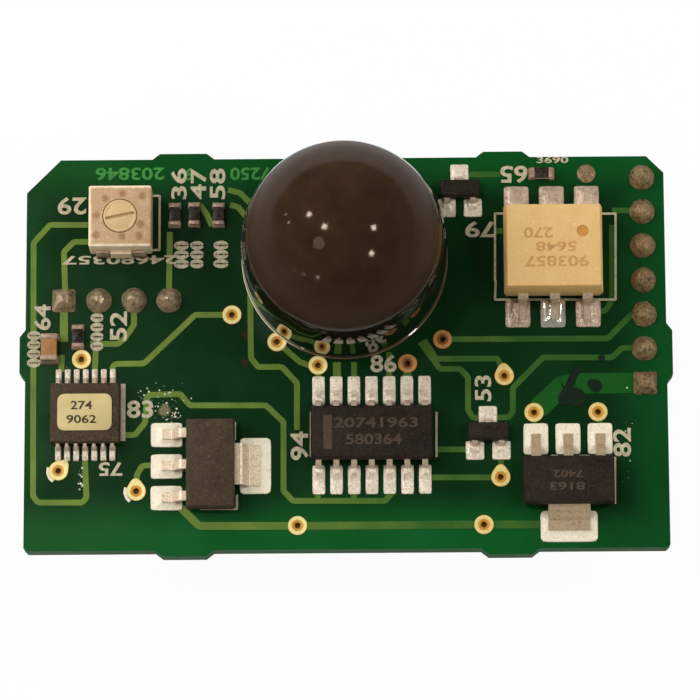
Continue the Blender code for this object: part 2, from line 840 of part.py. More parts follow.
def add_pad(relief, where, turn, along, outward, length, width):
    """A pad on a package's side; outward is the distance from the package to the pad's middle."""
    pad = mesh_of(
        box(
            (-width / 2, -length / 2, BOARD_TOP - PAD_SINK),
            (width / 2, length / 2, PAD_TOP),
        ),
        "pad",
    )
    spot = Matrix.Translation(where) @ Matrix.Rotation(turn, 4, "Z")
    add_mesh(relief, pad, spot @ Matrix.Translation((along, outward, 0)))


def package_pads(relief, package, where, turn, side, places, width=None):
    """Pads for the leads on one side of a package."""
    outward = side * (package.pad_span - package.pad_length) / 2
    for along in places:
        add_pad(relief, where, turn, along, outward, package.pad_length, width or package.pad_width)


def chip_pads(relief, where, turn, length, width, cap):
    """Pads under a two-ended chip component that lies along X before its turn."""
    pad = cap + CHIP_PAD_OUT + CHIP_PAD_IN
    middle = length / 2 + CHIP_PAD_OUT - pad / 2
    for side in (1, -1):
        add_pad(relief, where, turn + math.pi / 2, 0, side * middle, pad, width)


def board_relief():
    """Every pad on the board's top side, as one mesh of separate blocks."""
    relief = bmesh.new()
    for side in (1, -1):
        package_pads(relief, SMALL_CHIP, SMALL_CHIP_PLACE, 0, side, lead_row(CHIP_LEADS, SMALL_CHIP_PITCH))
        package_pads(relief, LARGE_CHIP, LARGE_CHIP_PLACE, 0, side, lead_row(CHIP_LEADS, LARGE_CHIP_PITCH))
        package_pads(relief, RELAY, RELAY_PLACE, 0, side, lead_row(3, RELAY_PITCH))
    regulators = (
        (LEFT_REGULATOR_PLACE, LEFT_REGULATOR_TURN),
        (RIGHT_REGULATOR_PLACE, 0.0),
    )
    for where, turn in regulators:
        package_pads(relief, REGULATOR, where, turn, 1, lead_row(3, REGULATOR_PITCH))
        package_pads(relief, REGULATOR, where, turn, -1, (0,), REGULATOR_TAB_PAD)
    for where in (UPPER_TRANSISTOR_PLACE, LOWER_TRANSISTOR_PLACE):
        package_pads(relief, TRANSISTOR, where, 0, 1, (0,))
        package_pads(relief, TRANSISTOR, where, 0, -1, lead_row(2, TRANSISTOR_SPREAD))
    for where, turn in RESISTOR_PLACES:
        chip_pads(relief, where, turn, RESISTOR_LENGTH, RESISTOR_WIDTH, RESISTOR_CAP)
    chip_pads(relief, CAPACITOR_PLACE, UPRIGHT_TURN, CAPACITOR_LENGTH, CAPACITOR_WIDTH, CAPACITOR_CAP)
    for along, side in terminal_places():
        outward = side * (terminal_face() - TERMINAL_FOOT / 2)
        add_pad(relief, TRIMMER_PLACE, 0, along, outward, TERMINAL_FOOT, TERMINAL_WIDTH)
    return relief


def via_rings():
    """The raised copper rings round the small plated holes."""
    rings = bmesh.new()
    for spot in via_places():
        ring = plate([circle(VIA_RING_RADIUS, VIA_SIDES, spot)], BOARD_TOP - PAD_SINK, PAD_TOP)
        add_mesh(rings, mesh_of(ring, "ring"), Matrix.Identity(4))
    return rings


def drills():
    """Every round hole through the board."""
    holes = [(spot, VIA_HOLE_RADIUS, 12) for spot in via_places()]
    holes += [(spot, PIN_HOLE_RADIUS, 12) for spot in long_header_pins() + short_header_pins()]
    sensor_hole = SENSOR_LEAD_RADIUS + HOLE_CLEARANCE
    holes += [(spot, sensor_hole, 12) for spot in sensor_lead_places()]
    cutters = bmesh.new()
    for spot, radius, sides in holes:
        drill = plate([circle(radius, sides, spot)], -BOARD_THICKNESS, 2 * BOARD_THICKNESS)
        add_mesh(cutters, mesh_of(drill, "drill"), Matrix.Identity(4))
    return cutters


def circuit_board():
    """The board: a plate with raised pads and rings, then drilled."""
    blank = plate([board_outline()], 0, BOARD_THICKNESS)
    board = new_object("circuit_board", mesh_of(blank, "circuit_board"), PARTS)
    for name, shape, operation in (
        ("stubs", board_stubs(), "UNION"),
        ("pads", board_relief(), "UNION"),
        ("rings", via_rings(), "UNION"),
        ("drills", drills(), "DIFFERENCE"),
    ):
        tool = as_tool(new_object(name, mesh_of(shape, name), TOOLS))
        combine(board, operation, tool, crossing=True)
    return finish(board, SOLDER_MASK)


# Dome lens and the sensor under it


def lens_cap():
    """A hollow dome on a straight collar with a thin foot; the lens zone stands back by a small step."""
    foot = FOOT_BOTTOM
    middle = BOARD_TOP + LENS_COLLAR
    right_angle = math.pi / 2
    zone_radius = LENS_RADIUS - LENS_STEP
    profile = [(0, middle + zone_radius)]
    profile += arc(middle, zone_radius, right_angle, LENS_ZONE_ANGLE, 8)[1:]
    profile += arc(middle, LENS_RADIUS, LENS_ZONE_ANGLE, 0, 3)
    profile += [
        (LENS_RADIUS, foot + LENS_FOOT_HEIGHT),
        (LENS_FOOT_RADIUS, foot + LENS_FOOT_HEIGHT),
        (LENS_FOOT_RADIUS, foot),
    ]
    inner = LENS_RADIUS - LENS_WALL
    profile += [(inner, foot)]
    profile += arc(middle, inner, 0, right_angle, 7)[:-1]
    profile += [(0, middle + inner)]
    cap = turned("lens_cap", profile, LENS_SIDES)
    cap.location = LENS_PLACE
    return finish(cap, DARK_DOME)


def sensor_base():
    """The sensor's metal base: a flange with a locating tab and a raised platform."""
    bottom = BOARD_TOP + SEAT
    flange = bottom + SENSOR_BASE_THICKNESS
    top = flange + SENSOR_PLATFORM_HEIGHT
    profile = [
        (0, top),
        (SENSOR_PLATFORM_RADIUS, top),
        (SENSOR_PLATFORM_RADIUS, flange),
        (SENSOR_BASE_RADIUS, flange),
        (SENSOR_BASE_RADIUS, bottom),
        (0, bottom),
    ]
    base = turned("sensor_base", profile, SENSOR_SIDES)
    base.location = LENS_PLACE
    reach = SENSOR_BASE_RADIUS + SENSOR_TAB_OUT
    inner = SENSOR_BASE_RADIUS - SENSOR_TAB_WIDTH
    tab = box(
        (inner, -SENSOR_TAB_WIDTH / 2, bottom),
        (reach, SENSOR_TAB_WIDTH / 2, flange),
    )
    tab_tool = new_object("sensor_tab", mesh_of(tab, "sensor_tab"), TOOLS, LENS_PLACE, SENSOR_TAB_TURN)
    combine(base, "UNION", as_tool(tab_tool))
    bores = bmesh.new()
    for spot in sensor_lead_places():
        loop = circle(SENSOR_LEAD_RADIUS + HOLE_CLEARANCE, 12, spot)
        bore = plate([loop], BOARD_TOP - SEAT, top + SENSOR_BASE_THICKNESS)
        add_mesh(bores, mesh_of(bore, "bore"), Matrix.Identity(4))
    bore_tool = as_tool(new_object("sensor_bores", mesh_of(bores, "sensor_bores"), TOOLS))
    combine(base, "DIFFERENCE", bore_tool)
    return finish(base, STEEL)


def flange_top():
    return BOARD_TOP + SEAT + SENSOR_BASE_THICKNESS


def can_top():
    return flange_top() + SEAT + CAN_HEIGHT


def sensor_can():
    """A thin drawn cup with a brim, a rounded shoulder and a rectangular window opening."""
    brim = flange_top() + SEAT
    top = can_top()
    right_angle = math.pi / 2
    shoulder = [
        (CAN_RADIUS - CAN_ROUND + radius, height)
        for radius, height in arc(top - CAN_ROUND, CAN_ROUND, right_angle, 0, 3)
    ]
    profile = [(0, top)] + shoulder
    profile += [
        (CAN_RADIUS, brim + CAN_WALL),
        (CAN_BRIM_RADIUS, brim + CAN_WALL),
        (CAN_BRIM_RADIUS, brim),
        (CAN_RADIUS - CAN_WALL, brim),
        (CAN_RADIUS - CAN_WALL, top - CAN_WALL),
        (0, top - CAN_WALL),
    ]
    can = turned("sensor_can", profile, SENSOR_SIDES)
    can.location = LENS_PLACE
    half_length = WINDOW_LENGTH / 2 - WINDOW_OPENING_MARGIN
    half_width = WINDOW_WIDTH / 2 - WINDOW_OPENING_MARGIN
    opening = box(
        (-half_length, -half_width, top - 2 * CAN_WALL),
        (half_length, half_width, top + CAN_WALL),
    )
    opening_tool = new_object("window_opening", mesh_of(opening, "window_opening"), TOOLS, LENS_PLACE)
    combine(can, "DIFFERENCE", as_tool(opening_tool))
    return finish(can, STEEL)


def sensor_window():
    """The dark filter plate, held against the inside of the can's top."""
    top = can_top() - CAN_WALL - SEAT
    bm = box(
        (-WINDOW_LENGTH / 2, -WINDOW_WIDTH / 2, top - WINDOW_THICKNESS),
        (WINDOW_LENGTH / 2, WINDOW_WIDTH / 2, top),
    )
    return finish(new_object("sensor_window", mesh_of(bm, "sensor_window"), PARTS, LENS_PLACE), FILTER)


def sensing_element():
    """A ceramic plate on a post, standing on the sensor's base."""
    bottom = flange_top() + SENSOR_PLATFORM_HEIGHT + SEAT
    under = bottom + ELEMENT_HEIGHT - ELEMENT_THICKNESS
    post = box(
        (-ELEMENT_POST_LENGTH / 2, -ELEMENT_POST_WIDTH / 2, bottom),
        (ELEMENT_POST_LENGTH / 2, ELEMENT_POST_WIDTH / 2, under + ELEMENT_THICKNESS / 2),
    )
    top_plate = box(
        (-ELEMENT_LENGTH / 2, -ELEMENT_WIDTH / 2, under),
        (ELEMENT_LENGTH / 2, ELEMENT_WIDTH / 2, bottom + ELEMENT_HEIGHT),
    )
    element = new_object("sensing_element", mesh_of(top_plate, "sensing_element"), PARTS, LENS_PLACE)
    post_tool = as_tool(new_object("element_post", mesh_of(post, "element_post"), TOOLS, LENS_PLACE))
    combine(element, "UNION", post_tool)
    return finish(element, WHITE_CERAMIC)


def joint_profile(radius, height, base, direction):
    """A concave cone of solder, as radius and height, from its tip to its base on the pad."""
    shape = ((0.0, 1.0), (0.32, 0.96), (0.46, 0.72), (0.6, 0.42), (0.8, 0.16), (1.0, 0.0))
    return [(radius * share, base + direction * height * rise) for share, rise in shape]


def sensor_leads():
    """Round leads from inside the sensor, through the board, to a cone of solder below it."""
    top = flange_top() + SENSOR_PLATFORM_HEIGHT + SENSOR_LEAD_ABOVE
    cone_base = -SEAT
    cone_radius = 3 * SENSOR_LEAD_RADIUS
    cone = joint_profile(cone_radius, SENSOR_LEAD_BELOW / 2, cone_base, -1)
    lead_end = -SENSOR_LEAD_BELOW
    profile = [(0, top), (SENSOR_LEAD_RADIUS, top), (SENSOR_LEAD_RADIUS, cone_base)]
    profile += [point for point in cone[::-1] if point[0] > SENSOR_LEAD_RADIUS]
    profile += [(SENSOR_LEAD_RADIUS, cone[1][1]), (SENSOR_LEAD_RADIUS, lead_end), (0, lead_end)]
    for number, (x, y) in enumerate(sensor_lead_places(), 1):
        lead = turned(f"sensor_lead_{number}", profile, 12)
        lead.location = (x, y, 0)
        finish(lead, TINNED)


# Trimmer


def terminal_face():
    """How far the terminals' outer faces stand from the trimmer's middle."""
    return TRIMMER_SIDE / 2 + SEAT + TERMINAL_THICKNESS


def terminal_places():
    """Two terminals in front and one at the back, as place along the side and side."""
    return ((-TERMINAL_SPREAD / 2, -1), (TERMINAL_SPREAD / 2, -1), (0.0, 1))


def housing_bottom():
    return FOOT_BOTTOM + TERMINAL_THICKNESS + SEAT


def housing_top():
    return housing_bottom() + TRIMMER_HEIGHT


def trimmer_housing():
    """A square housing with a round well and a bore for the rotor, and a nub between the terminals."""
    half = TRIMMER_SIDE / 2
    bottom = housing_bottom()
    top = housing_top()
    bm = box((-half, -half, bottom), (half, half, top))
    bmesh.ops.bevel(
        bm,
        geom=[edge for edge in bm.edges if all(corner.co.z > bottom for corner in edge.verts)],
        offset=TRIMMER_CHAMFER,
        segments=1,
        affect="EDGES",
    )
    housing = new_object("trimmer_housing", mesh_of(bm, "trimmer_housing"), PARTS, TRIMMER_PLACE)
    nub = box(
        (-TRIMMER_NUB_WIDTH / 2, -half - TRIMMER_NUB_OUT, bottom),
        (TRIMMER_NUB_WIDTH / 2, -half + TRIMMER_NUB_OUT, bottom + TRIMMER_NUB_HEIGHT),
    )
    nub_tool = as_tool(new_object("trimmer_nub", mesh_of(nub, "trimmer_nub"), TOOLS, TRIMMER_PLACE))
    combine(housing, "UNION", nub_tool)
    well_profile = rotor_profile(ROTOR_CLEARANCE, TRIMMER_CHAMFER)
    well = as_tool(turned("trimmer_well", well_profile, ROTOR_SIDES, TOOLS))
    well.location = TRIMMER_PLACE
    combine(housing, "DIFFERENCE", well)
    return finish(housing, TRIMMER_BODY)


def rotor_profile(clearance=0.0, extra=0.0):
    """The rotor's profile, or with a clearance the space that it turns in."""
    top = housing_top() + ROTOR_PROUD + extra
    under = housing_top() + ROTOR_PROUD - ROTOR_THICKNESS - clearance
    end = under - ROTOR_POST_LENGTH
    edge = 0.0 if clearance else ROTOR_EDGE
    disc = ROTOR_RADIUS + clearance
    post = ROTOR_POST_RADIUS + clearance
    profile = [(0, top), (disc - edge, top)]
    if edge:
        profile.append((disc, top - edge))
    profile += [(disc, under), (post, under), (post, end), (0, end)]
    return profile


def trimmer_rotor():
    """A disc on a post, with a screwdriver slot; its origin lies on its axis."""
    rotor = turned("trimmer_rotor", rotor_profile(), ROTOR_SIDES)
    rotor.location = TRIMMER_PLACE
    top = housing_top() + ROTOR_PROUD
    slot = box(
        (-ROTOR_SLOT_LENGTH / 2, -ROTOR_SLOT_WIDTH / 2, top - ROTOR_SLOT_DEPTH),
        (ROTOR_SLOT_LENGTH / 2, ROTOR_SLOT_WIDTH / 2, top + ROTOR_SLOT_DEPTH),
    )
    slot_mesh = mesh_of(slot, "rotor_slot")
    slot_tool = as_tool(new_object("rotor_slot", slot_mesh, TOOLS, TRIMMER_PLACE, ROTOR_SLOT_TURN))
    combine(rotor, "DIFFERENCE", slot_tool)
    return finish(rotor, ROTOR_BODY)


def trimmer_terminals():
    """Terminals bent round the housing's lower edge and in under it."""
    middle = TRIMMER_SIDE / 2 + SEAT + TERMINAL_THICKNESS / 2
    foot = FOOT_BOTTOM + TERMINAL_THICKNESS / 2
    line = [(middle, foot + TERMINAL_HEIGHT), (middle, foot), (middle - TERMINAL_FOOT, foot)]
    outline = strip([Vector(point) for point in line], TERMINAL_THICKNESS)
    mesh = mesh_of(upright(outline, TERMINAL_WIDTH), "trimmer_terminal")
    for number, (along, side) in enumerate(terminal_places(), 1):
        add_lead(f"trimmer_terminal_{number}", mesh, TRIMMER_PLACE, 0, along, side)


# Resistors, capacitor and label


def resistors():
    """Five chip resistors: end caps that stand a little proud of the coated middle."""
    half = RESISTOR_LENGTH / 2
    coat = half - RESISTOR_CAP
    bottom = FOOT_BOTTOM
    top = bottom + RESISTOR_HEIGHT
    low = top - RESISTOR_COAT_DROP
    outline = [(-half, bottom), (half, bottom), (half, top), (coat, top)]
    outline += [(coat, low), (-coat, low), (-coat, top), (-half, top)]
    mesh = mesh_of(upright(outline, RESISTOR_WIDTH), "resistor")
    for number, (where, turn) in enumerate(RESISTOR_PLACES, 1):
        package_piece(f"resistor_{number}", mesh.copy(), where, turn, WHITE_CERAMIC)


def capacitor():
    """A ceramic block between two metal end caps, as one solid."""
    half = CAPACITOR_LENGTH / 2
    wide = CAPACITOR_WIDTH / 2
    proud = CAPACITOR_CAP_PROUD
    bottom = FOOT_BOTTOM
    top = bottom + CAPACITOR_HEIGHT
    core = box((-half + proud, -wide + proud, bottom + proud), (half - proud, wide - proud, top - proud))
    caps = bmesh.new()
    for side in (1, -1):
        near = side * (half - CAPACITOR_CAP)
        far = side * half
        cap = box((min(near, far), -wide, bottom), (max(near, far), wide, top))
        add_mesh(caps, mesh_of(cap, "cap"), Matrix.Identity(4))
    block = new_object("capacitor", mesh_of(core, "capacitor"), PARTS, CAPACITOR_PLACE, UPRIGHT_TURN)
    caps_tool = new_object("capacitor_caps", mesh_of(caps, "caps"), TOOLS, CAPACITOR_PLACE, UPRIGHT_TURN)
    combine(block, "UNION", as_tool(caps_tool))
    return finish(block, TAN_CERAMIC)


def chip_label():
    """A paper label with rounded corners on the small chip."""
    half_length = LABEL_LENGTH / 2 - LABEL_CORNER
    half_width = LABEL_WIDTH / 2 - LABEL_CORNER
    loop = []
    for quarter, (x, y) in enumerate(((1, 1), (-1, 1), (-1, -1), (1, -1))):
        for step in range(LABEL_CORNER_STEPS + 1):
            angle = (quarter + step / LABEL_CORNER_STEPS) * math.pi / 2
            along = x * half_length + LABEL_CORNER * math.cos(angle)
            across = y * half_width + LABEL_CORNER * math.sin(angle)
            loop.append((along, across))
    bottom = body_top(SMALL_CHIP) + SEAT
    bm = plate([loop], bottom, bottom + LABEL_THICKNESS)
    return finish(new_object("chip_label", mesh_of(bm, "chip_label"), PARTS, SMALL_CHIP_PLACE), PAPER)


# Pin headers


def housing_outline(count):
    """A header housing's edge along X, pinched in between the pins."""
    half = HOUSING_WIDTH / 2
    notch = HOUSING_NOTCH
    front = []
    for x in lead_row(count, PIN_PITCH):
        front += [
            (x - PIN_PITCH / 2, -half + notch),
            (x - PIN_PITCH / 2 + notch, -half),
            (x + PIN_PITCH / 2 - notch, -half),
        ]
    end = count * PIN_PITCH / 2
    front.append((end, -half + notch))
    return front + [(-x, -y) for x, y in front]


def header_housing(name, pins, turn):
    """A plastic strip under the board with a square hole for each pin."""
    count = len(pins)
    hole = PIN_WIDTH / 2 + HOLE_CLEARANCE / 2
    loops = [housing_outline(count)]
    for x in lead_row(count, PIN_PITCH):
        loops.append([(x - hole, -hole), (x + hole, -hole), (x + hole, hole), (x - hole, hole)])
    bm = plate(loops, -SEAT - HOUSING_HEIGHT, -SEAT)
    first = Vector(pins[0])
    last = Vector(pins[-1])
    middle = (*((first + last) / 2), 0)
    return finish(new_object(name, mesh_of(bm, name), PARTS, middle, turn), BLACK_MOULDING)


def pin_mesh(name, square):
    """A square pin with a tapered tip, and the solder that holds it on the board's top side."""
    low = -SEAT - HOUSING_HEIGHT - PIN_BELOW
    half = PIN_WIDTH / 2
    cone_base = PAD_TOP + SEAT
    bm = box((-half, -half, low + PIN_TIP), (half, half, cone_base + PIN_ABOVE))
    bottom = [face for face in bm.faces if face.normal.z < -0.5]
    grown = bmesh.ops.extrude_face_region(bm, geom=bottom)["geom"]
    tips = [item for item in grown if isinstance(item, bmesh.types.BMVert)]
    bmesh.ops.delete(bm, geom=bottom, context="FACES_ONLY")
    bmesh.ops.translate(bm, verts=tips, vec=(0, 0, -PIN_TIP))
    share = PIN_TIP_WIDTH / PIN_WIDTH
    bmesh.ops.scale(bm, verts=tips, vec=(share, share, 1))
    pin = new_object(name, mesh_of(bm, name), TOOLS)
    sides = 4 if square else 12
    corner = math.sqrt(2) if square else 1.0
    profile = joint_profile(PIN_JOINT_RADIUS * corner, PIN_JOINT_HEIGHT, cone_base, 1)
    profile.append((0, cone_base))
    solder = as_tool(turned(name + "_solder", profile, sides, TOOLS))
    if square:
        solder.rotation_euler = (0, 0, math.pi / 4)
    combine(pin, "UNION", solder)
    mesh = evaluated_mesh(pin)
    bpy.data.objects.remove(pin, do_unlink=True)
    bpy.data.objects.remove(solder, do_unlink=True)
    return mesh


def header_pins(name, pins, square_number):
    """The pins of one header; the numbered one has a square solder joint."""
    round_mesh = pin_mesh(name + "_round", False)
    square_mesh = pin_mesh(name + "_square", True)
    for number, (x, y) in enumerate(pins, 1):
        mesh = square_mesh if number == square_number else round_mesh
        package_piece(f"{name}_pin_{number}", mesh.copy(), (x, y, 0), 0.0, BRASS_PIN)


def build():
    """Make every piece of the board."""
    circuit_board()
    lens_cap()
    sensor_base()
    sensor_can()
    sensor_window()
    sensing_element()
    sensor_leads()
    chip_with_leads("small_chip", SMALL_CHIP, SMALL_CHIP_PITCH, SMALL_CHIP_PLACE)
    chip_label()
    chip_with_leads("large_chip", LARGE_CHIP, LARGE_CHIP_PITCH, LARGE_CHIP_PLACE)
    regulator("left_regulator", LEFT_REGULATOR_PLACE, LEFT_REGULATOR_TURN)
    regulator("right_regulator", RIGHT_REGULATOR_PLACE, 0.0)
    transistor("upper_transistor", UPPER_TRANSISTOR_PLACE)
    transistor("lower_transistor", LOWER_TRANSISTOR_PLACE)
    relay(RELAY_PLACE)
    trimmer_housing()
    trimmer_rotor()
    trimmer_terminals()
    resistors()
    capacitor()
    header_housing("long_header_housing", long_header_pins(), math.pi / 2)
    header_pins("long_header", long_header_pins(), LONG_HEADER_PINS)
    header_housing("short_header_housing", short_header_pins(), 0.0)
    header_pins("short_header", short_header_pins(), 1)


build()
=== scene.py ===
"""Looks of the presence detector board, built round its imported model.

Lengths are metres in the model's own frame: the board's underside is z = 0, its long side lies
along X, and the side that carries the parts faces +Z.
"""

import logging
import math
import random
from abc import ABC, abstractmethod
from dataclasses import dataclass
from enum import Enum
from functools import lru_cache
from typing import Any, Callable, Dict, List, Mapping, Optional, Sequence, Tuple, Union

import bmesh
import bpy
from mathutils import Matrix, Vector


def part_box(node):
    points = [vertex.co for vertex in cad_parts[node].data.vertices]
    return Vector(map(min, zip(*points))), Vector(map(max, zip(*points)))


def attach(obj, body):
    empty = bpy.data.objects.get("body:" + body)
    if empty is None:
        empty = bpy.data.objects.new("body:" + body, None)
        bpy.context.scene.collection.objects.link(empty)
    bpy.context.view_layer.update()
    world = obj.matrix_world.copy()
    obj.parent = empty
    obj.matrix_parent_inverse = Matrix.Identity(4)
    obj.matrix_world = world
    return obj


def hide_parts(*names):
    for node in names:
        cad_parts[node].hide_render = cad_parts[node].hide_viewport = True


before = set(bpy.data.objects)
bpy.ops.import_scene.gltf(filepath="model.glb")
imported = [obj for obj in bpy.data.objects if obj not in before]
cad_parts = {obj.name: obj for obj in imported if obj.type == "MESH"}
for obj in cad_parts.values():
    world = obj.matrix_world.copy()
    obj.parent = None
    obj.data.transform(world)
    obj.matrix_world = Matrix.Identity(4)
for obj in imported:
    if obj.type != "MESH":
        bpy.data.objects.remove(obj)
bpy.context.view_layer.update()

LOG = logging.getLogger("presence_board")

Colour = Tuple[float, float, float]
Flat = Tuple[float, float]
Line = Sequence[Flat]
Route = Tuple[float, Line]
Spot = Tuple[float, float, float, float]
Piece = bpy.types.Object
Number = Union[float, "Signal"]

MM = 0.001
BOARD_THICK = 1.6 * MM
PAD_TOP = 1.66 * MM
FOOT_BOTTOM = 1.68 * MM
SMOOTH_ANGLE = math.radians(34.0)
WELD = 0.0005 * MM
CORNER_STEPS = 4
ARC_STEPS = 7
PRINT_SINK = 0.008 * MM


class Body(Enum):
    """The bodies that a piece may ride on."""

    BOARD = "board"
    ROTOR = "rotor"


class Slot(Enum):
    """Material slot names; no piece here takes its finish from them."""

    MASK = "solder_mask"
    DOME = "dark_dome"
    CERAMIC = "white_ceramic"
    DARK = "dark_moulding"
    CREAM = "cream_moulding"
    TIN = "tinned"
    BRASS = "brass_pin"
    PAPER = "paper"
    TRIMMER = "trimmer_body"
    ROTOR = "rotor_body"
    TAN = "tan_ceramic"


def tone(red: float, green: float, blue: float) -> Colour:
    """Linear colour of a screen colour.

    Args:
        red: Red from 0 to 255.
        green: Green from 0 to 255.
        blue: Blue from 0 to 255.

    Returns:
        The three linear values.
    """

    def linear(level: float) -> float:
        """One value of it."""
        share = level / 255
        return share / 12.92 if share <= 0.04045 else ((share + 0.055) / 1.055) ** 2.4

    return linear(red), linear(green), linear(blue)


# Node trees


def operator(operation: str, swapped: bool = False) -> Callable[..., "Signal"]:
    """A method for Signal that adds a Math node.

    Args:
        operation: The node's operation.
        swapped: Whether the signal comes last, as in 1 - mask.

    Returns:
        The method.
    """

    def method(self: "Signal", *others: Number) -> "Signal":
        """The node's output for this signal and the other values."""
        values = (*others, self) if swapped else (self, *others)
        return self.maths(operation, *values)

    return method


class Signal:
    """A node's output, which adds Math nodes when it is used in an expression."""

    def __init__(self, web: "Web", socket: bpy.types.NodeSocket) -> None:
        """Keep the tree and the socket."""
        self.web = web
        self.socket = socket

    __add__, __radd__ = operator("ADD"), operator("ADD", True)
    __sub__, __rsub__ = operator("SUBTRACT"), operator("SUBTRACT", True)
    __mul__, __rmul__ = operator("MULTIPLY"), operator("MULTIPLY", True)
    __truediv__, __pow__ = operator("DIVIDE"), operator("POWER")
    __abs__, wave = operator("ABSOLUTE"), operator("SINE")
    most = operator("MAXIMUM")

    def maths(self, operation: str, *values: Number, clamp: bool = False) -> "Signal":
        """Add a Math node, whose result may be kept between 0 and 1."""
        settings = {"operation": operation, "use_clamp": clamp}
        return self.web.node("ShaderNodeMath", settings, dict(enumerate(values)))

    def held(self) -> "Signal":
        """Self kept between 0 and 1."""
        return self.maths("ADD", self, 0.0, clamp=True)

    def rise(self, low: float, high: float) -> "Signal":
        """A soft step from 0 at low to 1 at high, which falls where high is the smaller."""
        settings = {"interpolation_type": "SMOOTHSTEP"}
        return self.web.node("ShaderNodeMapRange", settings, {0: self, 1: low, 2: high})


class Web:
    """A node tree and the one method that adds nodes to it."""

    def __init__(self, tree: bpy.types.NodeTree) -> None:
        """Keep the tree."""
        self.tree = tree

    def node(
        self,
        kind: str,
        settings: Optional[Mapping[str, Any]] = None,
        inputs: Optional[Mapping[Union[int, str], Any]] = None,
        output: Union[int, str] = 0,
    ) -> Signal:
        """Add a node.

        Args:
            kind: The node's type.
            settings: Its properties, set before its sockets.
            inputs: A value or a signal for each socket, by number or name.
            output: The socket to return.

        Returns:
            The chosen output.
        """
        made = self.tree.nodes.new(kind)
        for name, value in (settings or {}).items():
            setattr(made, name, value)
        for key, value in (inputs or {}).items():
            if isinstance(value, Signal):
                self.tree.links.new(value.socket, made.inputs[key])
            else:
                made.inputs[key].default_value = value
        outputs = made.outputs
        return Signal(self, outputs[output]) if len(outputs) else Signal(self, made.inputs[0])


class Paint(Web):
    """A material's tree, with the patterns that the finishes share."""

    def __init__(self, name: str) -> None:
        """Start an empty material.

        Args:
            name: Its name.
        """
        self.material = bpy.data.materials.new(name)
        self.material.use_nodes = True
        super().__init__(self.material.node_tree)
        self.tree.nodes.clear()
        self.place = self.node("ShaderNodeTexCoord", output="Object")
        axes = self.node("ShaderNodeSeparateXYZ", inputs={0: self.place}).socket.node
        self.x, self.y, self.z = (Signal(self, socket) for socket in axes.outputs)

    def noise(self, grain: float, seed: float, detail: float = 2.0, rough: float = 0.5) -> Signal:
        """Cloudy pattern.

        Args:
            grain: Size of its features.
            seed: Which of its slices.
            detail: Number of finer layers.
            rough: How strong those are.

        Returns:
            Values about 0.5.
        """
        inputs = {"Vector": self.place, "W": seed, "Scale": 1 / grain}
        inputs.update({"Detail": detail, "Roughness": rough})
        return self.node("ShaderNodeTexNoise", {"noise_dimensions": "4D"}, inputs)

    def grains(self, grain: float, seed: float) -> Signal:
        """Distance to the nearest of many scattered points, as a share of the grain."""
        inputs = {"Vector": self.place, "W": seed, "Scale": 1 / grain}
        return self.node("ShaderNodeTexVoronoi", {"voronoi_dimensions": "4D"}, inputs)

    def mix(self, share: Number, first: Union[Colour, Signal], second: Union[Colour, Signal]) -> Signal:
        """Blend two colours; the share is that of the second."""
        inputs = {0: share, 6: self._colour(first), 7: self._colour(second)}
        return self.node("ShaderNodeMix", {"data_type": "RGBA"}, inputs, 2)

    def _colour(self, value: Union[Colour, Signal]) -> Any:
        """A colour as a socket takes it."""
        return value if isinstance(value, Signal) else (*value, 1.0)

    def spot(self, place: Flat, radius: float, soft: float = 0.6, seed: float = 0.0) -> Signal:
        """A ragged round mark on a flat face.

        Args:
            place: Its centre.
            radius: Its radius.
            soft: Share of the radius over which it fades.
            seed: Which ragged edge it gets.

        Returns:
            1 in the mark and 0 outside it.
        """
        ragged = (self.noise(radius * 0.7, seed) - 0.5) * (radius * 0.9)
        across, along = self.x - place[0], self.y - place[1]
        distance = (across * across + along * along) ** 0.5 + ragged
        return distance.rise(radius, radius * (1 - soft))

    def relief(self, height: Signal, depth: float) -> Signal:
        """A bumpy normal from a pattern that goes from 0 to 1, and its depth."""
        inputs = {"Strength": 1.0, "Distance": depth, "Height": height}
        return self.node("ShaderNodeBump", None, inputs)

    def surface(
        self,
        colour: Union[Colour, Signal],
        roughness: Number,
        normal: Optional[Signal] = None,
        metallic: Number = 0.0,
        coat: Number = 0.0,
        **fixed: Any,
    ) -> None:
        """Close the tree with its shader.

        Args:
            colour: The base colour.
            roughness: The roughness.
            normal: A bumpy normal, if it has one.
            metallic: The metallic value.
            coat: The weight of its coat.
            fixed: Other sockets, with underscores for spaces, each the same all over.
        """
        inputs: Dict[Union[int, str], Any] = {
            "Base Color": self._colour(colour),
            "Roughness": roughness,
            "Metallic": metallic,
            "Coat Weight": coat,
        }
        if normal:
            inputs["Normal"] = normal
        inputs.update({name.replace("_", " "): value for name, value in fixed.items()})
        shader = self.node("ShaderNodeBsdfPrincipled", None, inputs)
        self.node("ShaderNodeOutputMaterial", None, {0: shader})


# Finishes


class Finish(ABC):
    """What a surface is made of."""

    @abstractmethod
    def brush(self, paint: Paint) -> None:
        """Fill a material's tree.

        Args:
            paint: The material's tree.
        """


@lru_cache(maxsize=None)
def material(finish: Finish) -> bpy.types.Material:
    """The material of a finish, made once.

    Args:
        finish: The finish.

    Returns:
        Its material.
    """
    name = type(finish).__name__.lower()
    paint = Paint(f"{name}_{getattr(finish, 'label', 'plain')}")
    finish.brush(paint)
    return paint.material


